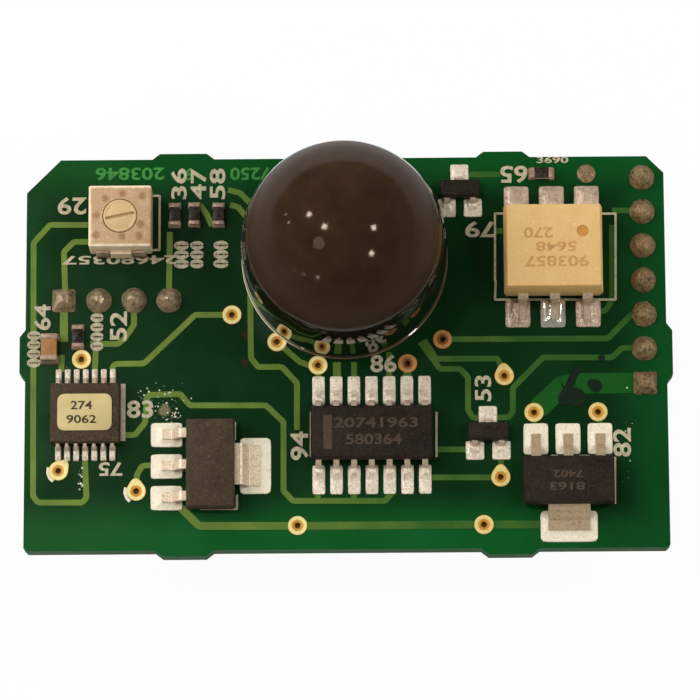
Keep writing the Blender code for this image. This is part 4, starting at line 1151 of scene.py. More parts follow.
class Track(Pattern):
    """Flat runs along the piece's edges, each as wide as its points say."""

    inputs = {"Corner": "NodeSocketFloat", "Height": "NodeSocketFloat", "Shoulder": "NodeSocketFloat"}

    def lay(self) -> Signal:
        """Round the corners, sweep a trapezium, and bring every run to one height.

        Returns:
            The geometry.
        """
        web, entry = self.web, self.entry
        line = web.node("GeometryNodeMeshToCurve", None, {0: entry["Geometry"]})
        round_in = {0: line, "Count": 3, "Radius": entry["Corner"], "Limit Radius": True}
        bent = web.node("GeometryNodeFilletCurve", {"mode": "POLY"}, round_in)
        flat = web.node("GeometryNodeSetCurveNormal", {"mode": "Z_UP"}, {0: bent})
        wide = self.kept("wide")
        top = 2.0 - entry["Shoulder"] * 2.0
        trapezium = {"Bottom Width": 2.0, "Top Width": top, "Offset": 0.0, "Height": 1.0}
        profile = web.node("GeometryNodeCurvePrimitiveQuadrilateral", {"mode": "TRAPEZOID"}, trapezium)
        sweep_in = {0: flat, "Profile Curve": profile, "Scale": wide, "Fill Caps": True}
        sweep = web.node("GeometryNodeCurveToMesh", None, sweep_in)
        spot = web.node("GeometryNodeInputPosition")
        axes = web.node("ShaderNodeSeparateXYZ", None, {0: spot}).socket.node
        x, y, z = (Signal(web, socket) for socket in axes.outputs)
        height = (z / wide) * entry["Height"] + self.kept("lift")
        level = web.node("ShaderNodeCombineXYZ", None, {0: x, 1: y, 2: height})
        return web.node("GeometryNodeSetPosition", None, {0: sweep, "Position": level})

    def draw(
        self,
        name: str,
        routes: Sequence[Route],
        finish: Finish,
        level: float,
        height: float,
        corner: float = 0.25 * MM,
        shoulder: float = 0.12,
    ) -> Piece:
        """Lay runs along routes on the board, each a hair higher than the last, so that none coincide.

        Args:
            name: The new piece's name.
            routes: Width and corners of each run, in millimetres.
            finish: The finish.
            level: The height that the runs' middle lies at.
            height: How far they stand above and below it.
            corner: Radius of their corners.
            shoulder: How far their sides slope in, as a share of half the width.

        Returns:
            The new piece.
        """
        points, edges, widths, lifts = [], [], [], []
        for number, (width, corners) in enumerate(routes):
            first = len(points)
            points += [(x * MM, y * MM, 0.0) for x, y in corners]
            edges += [(index, index + 1) for index in range(first, len(points) - 1)]
            widths += [width * MM / 2] * len(corners)
            lifts += [number % 9 * 0.0005 * MM] * len(corners)
        made = self.start(name, points, edges, wide=widths, lift=lifts)
        self.run(made, finish, Corner=corner, Height=height * 2, Shoulder=shoulder)
        return moved(made, Matrix.Translation((0, 0, level)))


def uneven(web: Web, geometry: Signal, amount: Signal, seed: Signal) -> Signal:
    """Let points wander a little, so that no two copies are quite alike.

    Args:
        web: The tree.
        geometry: The geometry.
        amount: How far points wander.
        seed: Which way they do.

    Returns:
        The geometry.
    """
    inputs = {"W": seed, "Scale": 1 / (0.5 * MM), "Detail": 2.0}
    cloud = web.node("ShaderNodeTexNoise", {"noise_dimensions": "4D"}, inputs, "Color")
    centred = web.node("ShaderNodeVectorMath", {"operation": "SUBTRACT"}, {0: cloud, 1: (0.5, 0.5, 0.5)})
    shift = web.node("ShaderNodeVectorMath", {"operation": "SCALE"}, {0: centred, "Scale": amount})
    return web.node("GeometryNodeSetPosition", None, {0: geometry, "Offset": shift})


@dataclass
class Kit:
    """The patterns that the sub-assemblies share."""

    row: Row
    scatter: Scatter
    track: Track

    def put(
        self,
        name: str,
        unit: Piece,
        spots: Sequence[Spot],
        finish: Finish,
        unevenness: float = 0.0,
        nodes: Sequence[str] = (),
    ) -> None:
        """Scatter copies of a unit, as Scatter.place does, and deliver them as one piece."""
        deliver(self.scatter.place(name, unit, spots, finish, unevenness), nodes)


def carved(piece: Piece, tool: Piece) -> Piece:
    """Cut a tool out of a piece.

    Args:
        piece: The piece.
        tool: The tool, which goes away.

    Returns:
        The same piece.
    """
    cut = piece.modifiers.new("cut", "BOOLEAN")
    cut.operation = "DIFFERENCE"
    cut.solver = "EXACT"
    cut.object = tool
    mesh = final_mesh(piece)
    piece.modifiers.clear()
    piece.data = mesh
    bpy.data.objects.remove(tool, do_unlink=True)
    return tidy(piece)


@dataclass(frozen=True)
class Print:
    """Plain digits printed in a box, whose sizes are in millimetres."""

    digits: str
    place: Flat
    box: Flat
    turn: float = 0.0

    def mesh(self, thickness: float) -> Piece:
        """The digits as a thin solid at height zero.

        Args:
            thickness: How far they stand up.

        Returns:
            The object.
        """
        curve = bpy.data.curves.new("digits", "FONT")
        curve.body = self.digits
        curve.resolution_u = 3
        curve.extrude = 0.02
        curve.offset = 0.022
        text = object_of("digits", curve)
        made = object_of("digits", final_mesh(text))
        bpy.data.objects.remove(text, do_unlink=True)
        spots = [vertex.co for vertex in made.data.vertices]
        low = Vector(min(spot[axis] for spot in spots) for axis in range(3))
        high = Vector(max(spot[axis] for spot in spots) for axis in range(3))
        size = high - low
        wide, tall = self.box
        scale = Matrix.Diagonal((wide * MM / size.x, tall * MM / size.y, thickness / size.z, 1))
        centre = Matrix.Translation(-(low + high) / 2)
        x, y = self.place
        return moved(made, turn_at(x * MM, y * MM, math.radians(self.turn)) @ scale @ centre)


def printed(
    name: str,
    prints: Sequence[Print],
    level: float,
    finish: Finish,
    place: Optional[Matrix] = None,
) -> None:
    """Print digits on a flat face and deliver them as one piece.

    Args:
        name: The piece's name.
        prints: The digits.
        level: The height of the face.
        finish: The ink.
        place: Where the face's middle is, unless the digits are there.
    """
    piece = joined(name, [item.mesh(0.016 * MM) for item in prints])
    moved(piece, Matrix.Translation((0, 0, level + 0.004 * MM)))
    deliver(tidy(piece), (), finish, place)


# Solder and leads


@dataclass(frozen=True)
class SolderBed:
    """Solder on a pad, drawn up round the foot of a lead that points along Y."""

    length: float
    width: float
    centre: float
    heel: float
    toe: float
    half_foot: float
    climb: float
    swell: float = 0.03 * MM
    spread: float = 0.13 * MM
    lip: float = 0.035 * MM
    square: float = 12.0
    spokes: int = 44

    def height(self, x: float, y: float, inset: float, share: float) -> float:
        """The solder's surface.

        Args:
            x: Place across the lead.
            y: Place along it.
            inset: How far inside the outline it is.
            share: How near the pad's edge it is, from 0 to 1.

        Returns:
            The height.
        """
        out_x = max(abs(x) - self.half_foot, 0.0)
        out_y = max(self.heel - y, y - self.toe, 0.0)
        away = math.hypot(out_x, out_y)
        fillet = self.climb * math.exp(-((away / self.spread) ** 1.6))
        back = ((y - self.heel) / (self.spread * 1.3)) ** 2
        behind = math.exp(-back) * math.exp(-((out_x / self.spread) ** 2))
        top = PAD_TOP + 0.028 * MM + self.swell * (1 - share**2) + fillet + behind * self.climb * 0.5
        return BOARD_THICK + (top - BOARD_THICK) * math.sqrt(min(inset / self.lip, 1.0))

    def unit(self, name: str) -> Piece:
        """One bed.

        Args:
            name: The object's name.

        Returns:
            The object.
        """
        levels = [(part * self.lip, 1.0) for part in (-1.0, 0.0, 0.35, 1.0, 2.0)]
        levels += [(2 * self.lip, share) for share in (0.86, 0.7, 0.53, 0.36, 0.19, 0.02)]
        rings = []
        for inset, share in levels:
            points = []
            for spoke in range(self.spokes):
                turn = 2 * math.pi * (spoke + 0.5) / self.spokes
                across, along = math.cos(turn), math.sin(turn)
                reach = (abs(across) ** self.square + abs(along) ** self.square) ** (-1 / self.square)
                inside = max(inset, 0.0)
                x = across * reach * share * (self.width / 2 - inside)
                y = along * reach * share * (self.length / 2 - inside) + self.centre
                low = BOARD_THICK - 0.03 * MM
                points.append(Vector((x, y, low if inset < 0 else self.height(x, y, inset, share))))
            rings.append(points)
        return loft(name, rings)


@dataclass(frozen=True)
class Package:
    """A moulded package whose leads leave its sides along Y; sizes are in millimetres."""

    length: float
    width: float
    standoff: float
    height: float
    lead_width: float
    thickness: float
    span: float
    foot: float
    bend: float
    shoulder: float
    pad_length: float
    pad_width: float
    pad_span: float
    edge: float = 0.07
    corner: float = 0.1
    rim: float = 0.14
    wet: float = 0.8
    draft: float = math.radians(7.0)
    bite: float = 0.12

    @property
    def bottom(self) -> float:
        """Height of the body's underside."""
        return BOARD_THICK + self.standoff * MM

    @property
    def top(self) -> float:
        """Height of the body's top."""
        return self.bottom + self.height * MM

    @property
    def exit(self) -> float:
        """Height at which the leads leave the body."""
        return self.bottom + self.height * MM / 2

    def body(self, name: str) -> Piece:
        """The moulded body at the origin.

        Args:
            name: The object's name.

        Returns:
            The object.
        """
        slope = self.height * MM / 2 * math.tan(self.draft)
        edge = self.edge * MM
        levels = (
            (self.bottom, slope + edge),
            (self.bottom + edge, slope),
            (self.exit - 0.02 * MM, 0.0),
            (self.exit + 0.02 * MM, 0.0),
            (self.top - edge, slope - edge * math.tan(self.draft)),
            (self.top - edge * 0.3, slope + edge * 0.3),
            (self.top, slope + edge),
        )
        half = (self.length * MM / 2, self.width * MM / 2)
        return pillow(name, half, levels, self.corner * MM)

    def line(self) -> List[Vector]:
        """The middle line of a formed lead, from inside the body to its tip.

        Returns:
            The points as distance and height.
        """
        foot_height = FOOT_BOTTOM + self.thickness * MM / 2
        tip, heel = self.span / 2, self.span / 2 - self.foot
        shoulder = min(self.width / 2 + self.shoulder, heel)
        corners = (
            ((self.width / 2 - self.bite) * MM, self.exit),
            (shoulder * MM, self.exit),
            (heel * MM, foot_height),
            (tip * MM, foot_height),
        )
        return rounded_line(corners, self.bend * MM)

    def lead(self, name: str, width: Optional[float] = None) -> Piece:
        """One lead, outward along Y.

        Args:
            name: The object's name.
            width: Its width in millimetres, or the package's own.

        Returns:
            The object.
        """
        wide = (width or self.lead_width) * MM
        edge = min(0.03 * MM, self.thickness * MM * 0.22)
        return formed_strip(name, self.line(), self.thickness * MM, lambda _: wide, edge)

    def bed(self, width: Optional[float] = None, foot: Optional[float] = None) -> SolderBed:
        """The solder under one lead.

        Args:
            width: The pad's width in millimetres, or the package's own.
            foot: The lead's width in millimetres, or the package's own.

        Returns:
            The bed.
        """
        return SolderBed(
            length=(self.pad_length + self.rim) * MM,
            width=((width or self.pad_width) + self.rim) * MM,
            centre=(self.pad_span - self.pad_length) / 2 * MM,
            heel=(self.span / 2 - self.foot) * MM,
            toe=self.span / 2 * MM,
            half_foot=(foot or self.lead_width) * MM / 2,
            climb=self.thickness * MM * self.wet,
            spread=min(0.16, 0.3 * self.pad_length) * MM,
        )


SMALL_CHIP = Package(5.0, 4.4, 0.1, 1.0, 0.25, 0.14, 6.4, 0.5, 0.12, 0.22, 1.1, 0.4, 6.7, 0.07, 0.1, 0.04)
LARGE_CHIP = Package(8.75, 3.9, 0.12, 1.45, 0.42, 0.2, 6.0, 0.55, 0.18, 0.3, 2.0, 0.78, 8.5)
REGULATOR = Package(6.5, 3.5, 0.1, 1.6, 0.7, 0.28, 7.0, 0.8, 0.25, 0.45, 2.15, 1.65, 8.5, wet=0.35)
TRANSISTOR = Package(2.9, 1.3, 0.06, 1.0, 0.42, 0.13, 2.5, 0.25, 0.1, 0.2, 1.25, 1.2, 3.8)
RELAY = Package(
    7.1, 6.4, 0.35, 3.4, 0.52, 0.25, 9.4, 1.15, 0.25, 0.3, 1.95, 1.68, 10.35, 0.06, 0.06, wet=0.6
)


class Assembly(ABC):
    """A sub-assembly that builds its own pieces."""

    @abstractmethod
    def build(self, kit: Kit) -> None:
        """Build, dress and deliver every piece.

        Args:
            kit: The shared patterns.
        """


def dress_node(node: str, finish: Finish) -> None:
    """Give a CAD node that stays a better material.

    Args:
        node: The node's name.
        finish: Its finish.
    """
    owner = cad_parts[node]
    for holder in owner.material_slots:
        holder.material = material(finish)
    LOG.info("%s: CAD node in %s", node, type(finish).__name__)


# The board


@dataclass
class CircuitBoard(Assembly):
    """The board with its copper runs, bare rings and print; places and rings are in millimetres."""

    run_width: float = 0.42
    run_shoulder: float = 0.5
    run_height: float = 0.015 * MM
    pour_width: float = 1.5
    pour_bend: Flat = (15.53, -2.6)
    ring: float = 0.7
    hole: float = 0.2
    vias: Tuple[Flat, ...] = (
        (-19.04, -0.41), (-8.2, 2.8), (-20.64, -8.57), (-15.05, -10.08), (-3.5, -12.65), (9.82, -12.67),
        (-2.0, -0.96), (-4.95, 0.78), (11.39, -1.83), (11.06, -9.23), (13.49, -4.53), (18.08, -4.52),
    )
    worn_vias: Tuple[Flat, ...] = ((4.44, -0.87), (6.97, 0.88))
    filled_via: Flat = (17.49, 13.1)
    drops: Tuple[Tuple[float, float, float], ...] = (
        (-15.05, -10.08, 4.0), (11.39, -1.83, 5.0), (11.06, -9.23, 0.0), (-20.64, -8.57, -40.0),
    )
    runs: Tuple[Line, ...] = (
        ((-18.65, 9.55), (-21.41, 9.58), (-22.58, 8.24), (-22.53, 1.79), (-22.44, -10.38),
         (-22.08, -10.86), (-18.93, -10.88), (-18.61, -10.55), (-18.74, -7.78)),
        ((-18.64, 8.29), (-19.66, 8.3), (-20.38, 7.56), (-20.24, 4.07)),
        ((-20.45, -0.07), (-20.51, -1.32)),
        ((-18.01, 0.58), (-18.07, -1.19)),
        ((-12.7, 8.99), (-12.76, 4.68)),
        ((-15.28, 3.07), (-15.27, 2.11), (-15.92, 1.15), (-16.42, 0.71), (-18.44, 0.73)),
        ((-16.84, -1.2), (-16.7, -0.76), (-14.54, -0.74), (-11.23, 2.45), (-10.87, 2.82),
         (-8.2, 2.8)),
        ((-15.95, -5.97), (-15.16, -5.98), (-14.44, -5.1), (-14.31, -3.2), (-14.09, -3.05),
         (-11.94, -3.0), (-11.21, -3.84), (-5.75, -3.88), (-4.49, -5.1), (-4.5, -10.13),
         (-3.82, -10.86), (2.76, -10.91), (3.26, -10.33), (3.19, -9.75)),
        ((-2.03, -10.87), (-2.03, -9.71)),
        ((0.54, -10.89), (0.55, -9.73)),
        ((-6.9, 5.45), (-6.83, -0.39), (-6.32, -1.05), (-4.6, -1.06), (-3.52, -2.25),
         (-3.53, -5.69)),
        ((-4.96, 0.78), (-3.3, -0.71), (-2.72, -0.93), (-2.0, -0.93), (-2.01, -2.4)),
        ((-15.03, -10.13), (-15.0, -8.9), (-14.64, -8.24), (-13.71, -8.18)),
        ((8.85, 13.12), (11.25, 13.1)),
        ((19.33, 10.35), (21.57, 10.33)),
        ((18.34, 2.83), (18.78, 2.97), (19.22, 3.71), (19.31, 9.27)),
        ((7.01, 0.89), (18.89, 0.87), (20.64, 2.66), (21.58, 2.69)),
        ((5.64, 0.85), (6.49, -0.55), (10.95, -0.55), (11.37, -1.84)),
        ((5.35, 0.71), (6.77, -1.29), (8.21, -1.3), (8.78, -1.89), (8.76, -4.31), (9.11, -4.9),
         (9.97, -4.91)),
        ((10.47, -4.91), (11.69, -4.85), (11.98, -4.41), (12.0, -2.72), (14.19, -0.5),
         (19.15, -0.53), (19.88, 0.16), (21.53, 0.15)),
        ((6.44, -7.18), (9.16, -7.2)),
        ((5.7, -9.22), (11.07, -9.25)),
        ((18.08, -4.52), (18.2, -5.84)),
        ((13.53, -4.53), (13.51, -5.81)),
        ((-10.53, 10.99), (-10.02, 10.24), (-9.66, 9.41)),
        ((-8.5, 12.09), (-7.63, 11.86), (-6.76, 10.96)),
        ((-8.35, 10.97), (-7.77, 10.82), (-7.12, 9.99)),
        ((0.59, -0.73), (0.59, -2.42)),
        ((3.11, -0.01), (3.11, -2.42)),
        ((10.77, 8.89), (11.71, 8.88)),
        ((11.07, -9.25), (11.09, -7.83)),
    )
    wide_runs: Tuple[Route, ...] = (
        (0.58, ((-20.34, 3.11), (-20.32, 0.89))),
        (0.58, ((-0.64, -0.73), (-0.64, -2.42))),
        (0.58, ((4.42, -1.27), (4.42, -2.42))),
        (0.56, ((-12.05, -11.1), (-10.54, -12.63), (-3.54, -12.68), (9.82, -12.66), (14.17, -12.69))),
    )
    outlines: Tuple[Line, ...] = (
        ((10.85, 5.2), (10.78, 3.79), (19.48, 3.73), (19.58, 10.11), (10.85, 10.18), (10.8, 5.2)),
        ((-14.15, 11.68), (-13.46, 11.68), (-13.46, 7.65), (-14.15, 7.65)),
        ((-7.98, -5.08), (-7.98, -6.39)),
        ((-10.48, -11.4), (-7.83, -11.42), (-7.83, -10.4)),
        ((-2.52, -4.38), (-2.53, -7.67)),
        ((6.49, -4.44), (6.47, -7.73)),
        ((19.25, -7.82), (19.19, -11.23)),
        ((14.67, -7.71), (15.17, -7.72)),
        ((16.67, -7.73), (17.46, -7.73)),
    )
    pin_bar: Route = (0.34, ((-16.03, -2.23), (-16.02, -6.41)))
    oval_columns: Tuple[Tuple[float, Tuple[float, ...], float], ...] = (
        (-22.48, (-0.65, 0.02, 0.69, 1.36), 0.36),
        (-17.94, (0.55, 1.25, 1.95, 2.65), 0.34),
        (-11.86, (6.6, 7.28, 7.96), 0.42),
        (-10.74, (6.6, 7.28, 7.96), 0.36),
        (-9.0, (6.6, 7.28, 7.96), 0.42),
    )
    prints: Tuple[Print, ...] = (
        Print("29", (-19.82, 10.98), (2.1, 1.3), 180),
        Print("36", (-12.06, 12.57), (2.3, 1.15), 90),
        Print("47", (-10.64, 12.56), (2.3, 1.15), 90),
        Print("58", (-9.26, 12.55), (2.3, 1.15), 90),
        Print("64", (-21.89, 2.71), (1.9, 1.2), 90),
        Print("52", (-16.39, 2.01), (2.2, 1.25), 90),
        Print("75", (-16.9, -8.45), (1.7, 1.0), 180),
        Print("83", (-14.8, -4.1), (1.9, 1.3)),
        Print("94", (-3.35, -6.86), (2.1, 1.3), 90),
        Print("86", (2.71, -0.86), (1.9, 1.3)),
        Print("53", (9.85, -2.74), (1.9, 1.2), 90),
        Print("79", (9.76, 9.01), (2.2, 1.2), 180),
        Print("65", (12.26, 13.09), (2.0, 1.3), 180),
        Print("82", (19.77, -6.76), (2.1, 1.3), 90),
        Print("3690", (15.07, 14.16), (2.3, 0.5)),
        Print("24680357", (-16.31, 6.93), (8.4, 0.66), 180),
    )
    relief_prints: Tuple[Print, ...] = (
        Print("203846", (-15.63, 13.35), (5.0, 0.95), 180),
        Print("7250", (-6.9, 13.3), (2.9, 0.95), 180),
        Print("9", (-11.35, 13.3), (0.6, 0.95), 180),
    )

    def routes(self) -> List[Route]:
        """Width and corners of every copper run, broken where it meets a ring."""
        lines = [*((self.run_width, line) for line in self.runs), *self.wide_runs]
        return [(width, part) for width, line in lines for part in self.clear_of_holes(line)]

    def clear_of_holes(self, line: Line) -> List[Line]:
        """Break a run at the rings that it meets, and stop it short of their holes.

        Args:
            line: The run's corners.

        Returns:
            The parts of the run.
        """
        rings, parts, part = (*self.vias, *self.worn_vias), [], []
        for index, corner in enumerate(line):
            if not any(math.dist(ring_place, corner) < 0.12 for ring_place in rings):
                part.append(corner)
                continue
            if index:
                parts.append([*part, self.short_of(corner, line[index - 1])])
                part = []
            if index + 1 < len(line):
                part = [self.short_of(corner, line[index + 1])]
        return [*parts, part] if len(part) > 1 else parts

    def short_of(self, hole: Flat, near: Flat) -> Flat:
        """The place beside a hole on the way to another place."""
        reach = 0.4 / math.dist(hole, near)
        return hole[0] + (near[0] - hole[0]) * reach, hole[1] + (near[1] - hole[1]) * reach

    def silk_lines(self) -> List[Route]:
        """Width and corners of the printed outlines."""
        return [*((0.16, line) for line in self.outlines), self.pin_bar, *self.ovals()]

    def ovals(self) -> List[Route]:
        """Small printed rings that stand where the real board has tiny marks.

        Returns:
            Their outlines.
        """
        turns = [2 * math.pi * step / 10 for step in range(11)]
        return [
            (0.28, [(x + half * math.cos(turn), y + 0.2 * math.sin(turn)) for turn in turns])
            for x, heights, half in self.oval_columns
            for y in heights
        ]

    def via_unit(self) -> Piece:
        """One plated ring with its barrel, closed under the board.

        Returns:
            The object.
        """
        ring_edge, hole, lip = self.ring, self.hole, 0.03
        top, wall, floor, back = 1.678, 0.262, 1.3, -0.01
        profile = (
            (0.02, floor), (hole - lip, floor), (hole, floor + 0.06), (hole, 1.62), (hole + lip, 1.656),
            (0.36, 1.667), (0.48, top), (ring_edge - lip, top), (ring_edge, top - lip),
            (ring_edge, 1.61), (wall, 1.61), (wall, back), (ring_edge, back), (ring_edge, back - lip),
            (ring_edge - lip, back - 2 * lip), (0.02, back - 2 * lip),
        )
        return lathe("via_unit", scaled(profile), 40)

    def drop_unit(self) -> Piece:
        """The pointed side of a ring, along Y.

        Returns:
            The object.
        """
        outline, inner = [], []
        for index in range(48):
            turn = 2 * math.pi * index / 48
            reach = self.ring * MM * (1 + 0.36 * max(math.sin(turn), 0.0) ** 7)
            outline.append(Vector((reach * math.cos(turn), reach * math.sin(turn), 0)))
            inner.append(Vector((0.48 * MM * math.cos(turn), 0.48 * MM * math.sin(turn), 0)))
        low, mid, top = (Vector((0, 0, level * MM)) for level in (1.61, 1.655, 1.6772))
        rings = [
            [point + low for point in outline],
            [point + mid for point in outline],
            [point * 0.96 + top for point in outline],
            [point + top for point in inner],
            [point + low for point in inner],
        ]
        return loft("drop_unit", rings, True)

    def build(self, kit: Kit) -> None:
        """Dress the board and lay what is on it.

        Args:
            kit: The shared patterns.
        """
        dress_node("circuit_board", MASK)
        level = BOARD_THICK
        bend = self.pour_bend
        pour = ((21.49, -2.42), (16.46, -2.42), bend, self.short_of(self.vias[10], bend))
        centre = level + self.run_height - 0.004 * MM
        for name, routes, finish, slope in (
            ("copper_runs", self.routes(), RUNS, self.run_shoulder),
            ("copper_pour", [(self.pour_width, pour)], POUR, 0.14),
        ):
            runs = kit.track.draw(name, routes, finish, centre, self.run_height, 0.3 * MM, slope)
            deliver(runs)
        for name, places, finish in (
            ("via_rings", self.vias, GILT),
            ("worn_rings", self.worn_vias, WORN_GILT),
        ):
            spots = [(x * MM, y * MM, index * 0.7, 1.0) for index, (x, y) in enumerate(places)]
            kit.put(name, self.via_unit(), spots, finish, 0.003 * MM)
        spots = [(x * MM, y * MM, math.radians(turn), 1.0) for x, y, turn in self.drops]
        kit.put("via_drops", self.drop_unit(), spots, GILT)
        bulge = ((0.68, -0.02), (0.68, 0.05), (0.55, 0.12), (0.3, 0.17), (0.05, 0.19))
        plug = lathe("filled_via", scaled(bulge, level), 32)
        x, y = self.filled_via
        deliver(plug, (), ROUGH_SOLDER, turn_at(x * MM, y * MM))
        lines = kit.track.draw("silk_lines", self.silk_lines(), SILK, level, 0.042 * MM, 0.02 * MM)
        deliver(lines)
        printed("silk_digits", self.prints, level + 0.034 * MM, SILK)
        printed("relief_digits", self.relief_prints, level + 0.01 * MM, RELIEF_MARK)


# Pieces under the dome and the dome


@dataclass
class DomeAndSensor(Assembly):
    """The dome over the motion sensor, whose leads are soldered under the board."""

    radius: float = 7.36 * MM
    wall: float = 0.85 * MM
    collar: float = 4.8 * MM
    foot_radius: float = 7.45 * MM
    foot_height: float = 0.3 * MM
    step: float = 0.015 * MM
    zone_angle: float = math.radians(21.0)
    crown: float = 7.308 * MM
    sides: int = 144

    def profile(self) -> List[Flat]:
        """The dome's section, from its top down the outside and back up the inside.

        Returns:
            Radius and height of each ring.
        """
        centre = BOARD_THICK + self.collar
        zone = self.radius - self.step
        points = []
        crown_turn, steps, lower_steps, inner_steps = math.pi / 2 - 0.004, 26, 8, 16
        for index in range(steps + 1):
            angle = crown_turn - (crown_turn - self.zone_angle) * index / steps
            points.append((zone * math.cos(angle), centre + self.crown * math.sin(angle)))
        lower = self.zone_angle - 0.008
        for index in range(lower_steps + 1):
            angle = lower * (1 - index / lower_steps)
            points.append((self.radius * math.cos(angle), centre + self.radius * math.sin(angle)))
        foot = FOOT_BOTTOM + self.foot_height
        points += [
            (self.radius, foot + 0.03 * MM),
            (self.foot_radius - 0.02 * MM, foot),
            (self.foot_radius, foot - 0.04 * MM),
            (self.foot_radius, FOOT_BOTTOM),
            (self.radius - self.wall, FOOT_BOTTOM),
        ]
        inner = self.radius - self.wall
        for index in range(inner_steps + 1):
            angle = crown_turn * index / inner_steps
            points.append((inner * math.cos(angle), centre + inner * math.sin(angle)))
        return points

    def build(self, kit: Kit) -> None:
        """Build the dome, dress the sensor and solder its leads.

        Args:
            kit: The shared patterns.
        """
        place = turn_at(*middle("lens_cap"))
        dome = lathe("dome", self.profile(), self.sides)
        deliver(dome, ["lens_cap"], DomeSkin(), place)
        for node in ("sensor_base", "sensor_can"):
            dress_node(node, STEEL)
        dress_node("sensor_window", FILTER_DARK)
        dress_node("sensing_element", WHITE_CERAMIC)
        spots = []
        for number in (1, 2, 3):
            dress_node(f"sensor_lead_{number}", PIN_GILT)
            spots.append((*middle(f"sensor_lead_{number}"), 0.9 * number, 1.0))
        cone = (
            (0.85, 0.03), (0.85, -0.03), (0.6, -0.16), (0.42, -0.38),
            (0.31, -0.68), (0.25, -0.8), (0.08, -0.86),
        )
        unit = lathe("sensor_joint", scaled(cone), 32)
        kit.put("sensor_joints", unit, spots, JOINT_SOLDER, 0.05 * MM)


# Moulded parts


@dataclass
class Chip(Assembly):
    """A chip with seven leads a side."""

    node: str
    package: Package
    pitch: float
    coat: Moulding
    solder: Solder
    marks: Tuple[Print, ...] = ()
    stripe: Tuple[Flat, ...] = ()
    leads: int = 7

    def build(self, kit: Kit) -> None:
        """Build the body, its leads and their solder, and print its faint marks.

        Args:
            kit: The shared patterns.
        """
        package, place = self.package, turn_at(*middle(self.node))
        deliver(package.body(f"{self.node}_body"), [self.node], self.coat, place)
        row = {"Count": self.leads, "Pitch": self.pitch * MM, "Both": True}
        leads = package.lead(f"{self.node}_leads")
        kit.row.run(leads, LEAD_TIN, Uneven=0.012 * MM, Seed=3.0, **row)
        deliver(leads, [self.node], None, place)
        beds = package.bed().unit(f"{self.node}_solder")
        kit.row.run(beds, self.solder, Uneven=0.05 * MM, Seed=5.0, **row)
        deliver(beds, (), None, place)
        level = package.top
        if self.marks:
            printed(f"{self.node}_marks", self.marks, level - PRINT_SINK, FAINT, place)
        if self.stripe:
            routes = [(0.62, self.stripe)]
            stripe = kit.track.draw(f"{self.node}_stripe", routes, FAINT, level, 0.004 * MM)
            deliver(stripe, (), None, place)


@dataclass
class Regulator(Assembly):
    """A regulator with three leads on one side and a wide tab on the other."""

    name: str
    turn: float
    coat: Moulding
    tin: Solder
    marks: Tuple[Print, ...] = ()
    solder: Solder = PALE_SOLDER
    pitch: float = 2.3
    tab: float = 3.0
    tab_pad: float = 3.95

    def build(self, kit: Kit) -> None:
        """Build the body, leads, tab and solder.

        Args:
            kit: The shared patterns.
        """
        package, name = REGULATOR, self.name
        place = turn_at(*middle(f"{name}_body"), self.turn)
        deliver(package.body(f"{name}_moulding"), [f"{name}_body"], self.coat, place)
        row = {"Count": 3, "Pitch": self.pitch * MM, "Both": False}
        leads = package.lead(f"{name}_leads")
        kit.row.run(leads, self.tin, Uneven=0.02 * MM, Seed=7.0, **row)
        nodes = [f"{name}_lead_1", f"{name}_lead_2", f"{name}_tab"]
        deliver(leads, nodes, None, place)
        back = Matrix.Rotation(math.pi, 4, "Z")
        tab = package.lead(f"{name}_heel_tab", self.tab)
        deliver(tab, [f"{name}_tab"], self.tin, place @ back)
        beds = package.bed().unit(f"{name}_solder")
        kit.row.run(beds, self.solder, Uneven=0.06 * MM, Seed=9.0, **row)
        wide = moved(package.bed(self.tab_pad, self.tab).unit("tab_bed"), back)
        solder = joined(f"{name}_solder", [beds, wide])
        deliver(solder, (), self.solder, place)
        if self.marks:
            printed(f"{name}_marks", self.marks, package.top - PRINT_SINK, FAINT, place)


@dataclass
class Transistor(Assembly):
    """A transistor with one lead at the back and two in front."""

    name: str
    spread: float = 1.9 * MM

    def build(self, kit: Kit) -> None:
        """Build the body, leads and solder.

        Args:
            kit: The shared patterns.
        """
        name = self.name
        x, y = middle(f"{name}_body")
        body = TRANSISTOR.body(f"{name}_moulding")
        deliver(body, [f"{name}_body"], CHIP_BLACK, turn_at(x, y))
        spots = [(x, y, 0.0, 1.0)]
        spots += [(x + side * self.spread / 2, y, math.pi, 1.0) for side in (-1, 1)]
        nodes = [f"{name}_lead_{number}" for number in (1, 2, 3)]
        lead, bed = TRANSISTOR.lead("lead_unit"), TRANSISTOR.bed().unit("bed_unit")
        kit.put(f"{name}_leads", lead, spots, LEAD_TIN, 0.01 * MM, nodes)
        kit.put(f"{name}_solder", bed, spots, CHIP_SOLDER, 0.06 * MM)


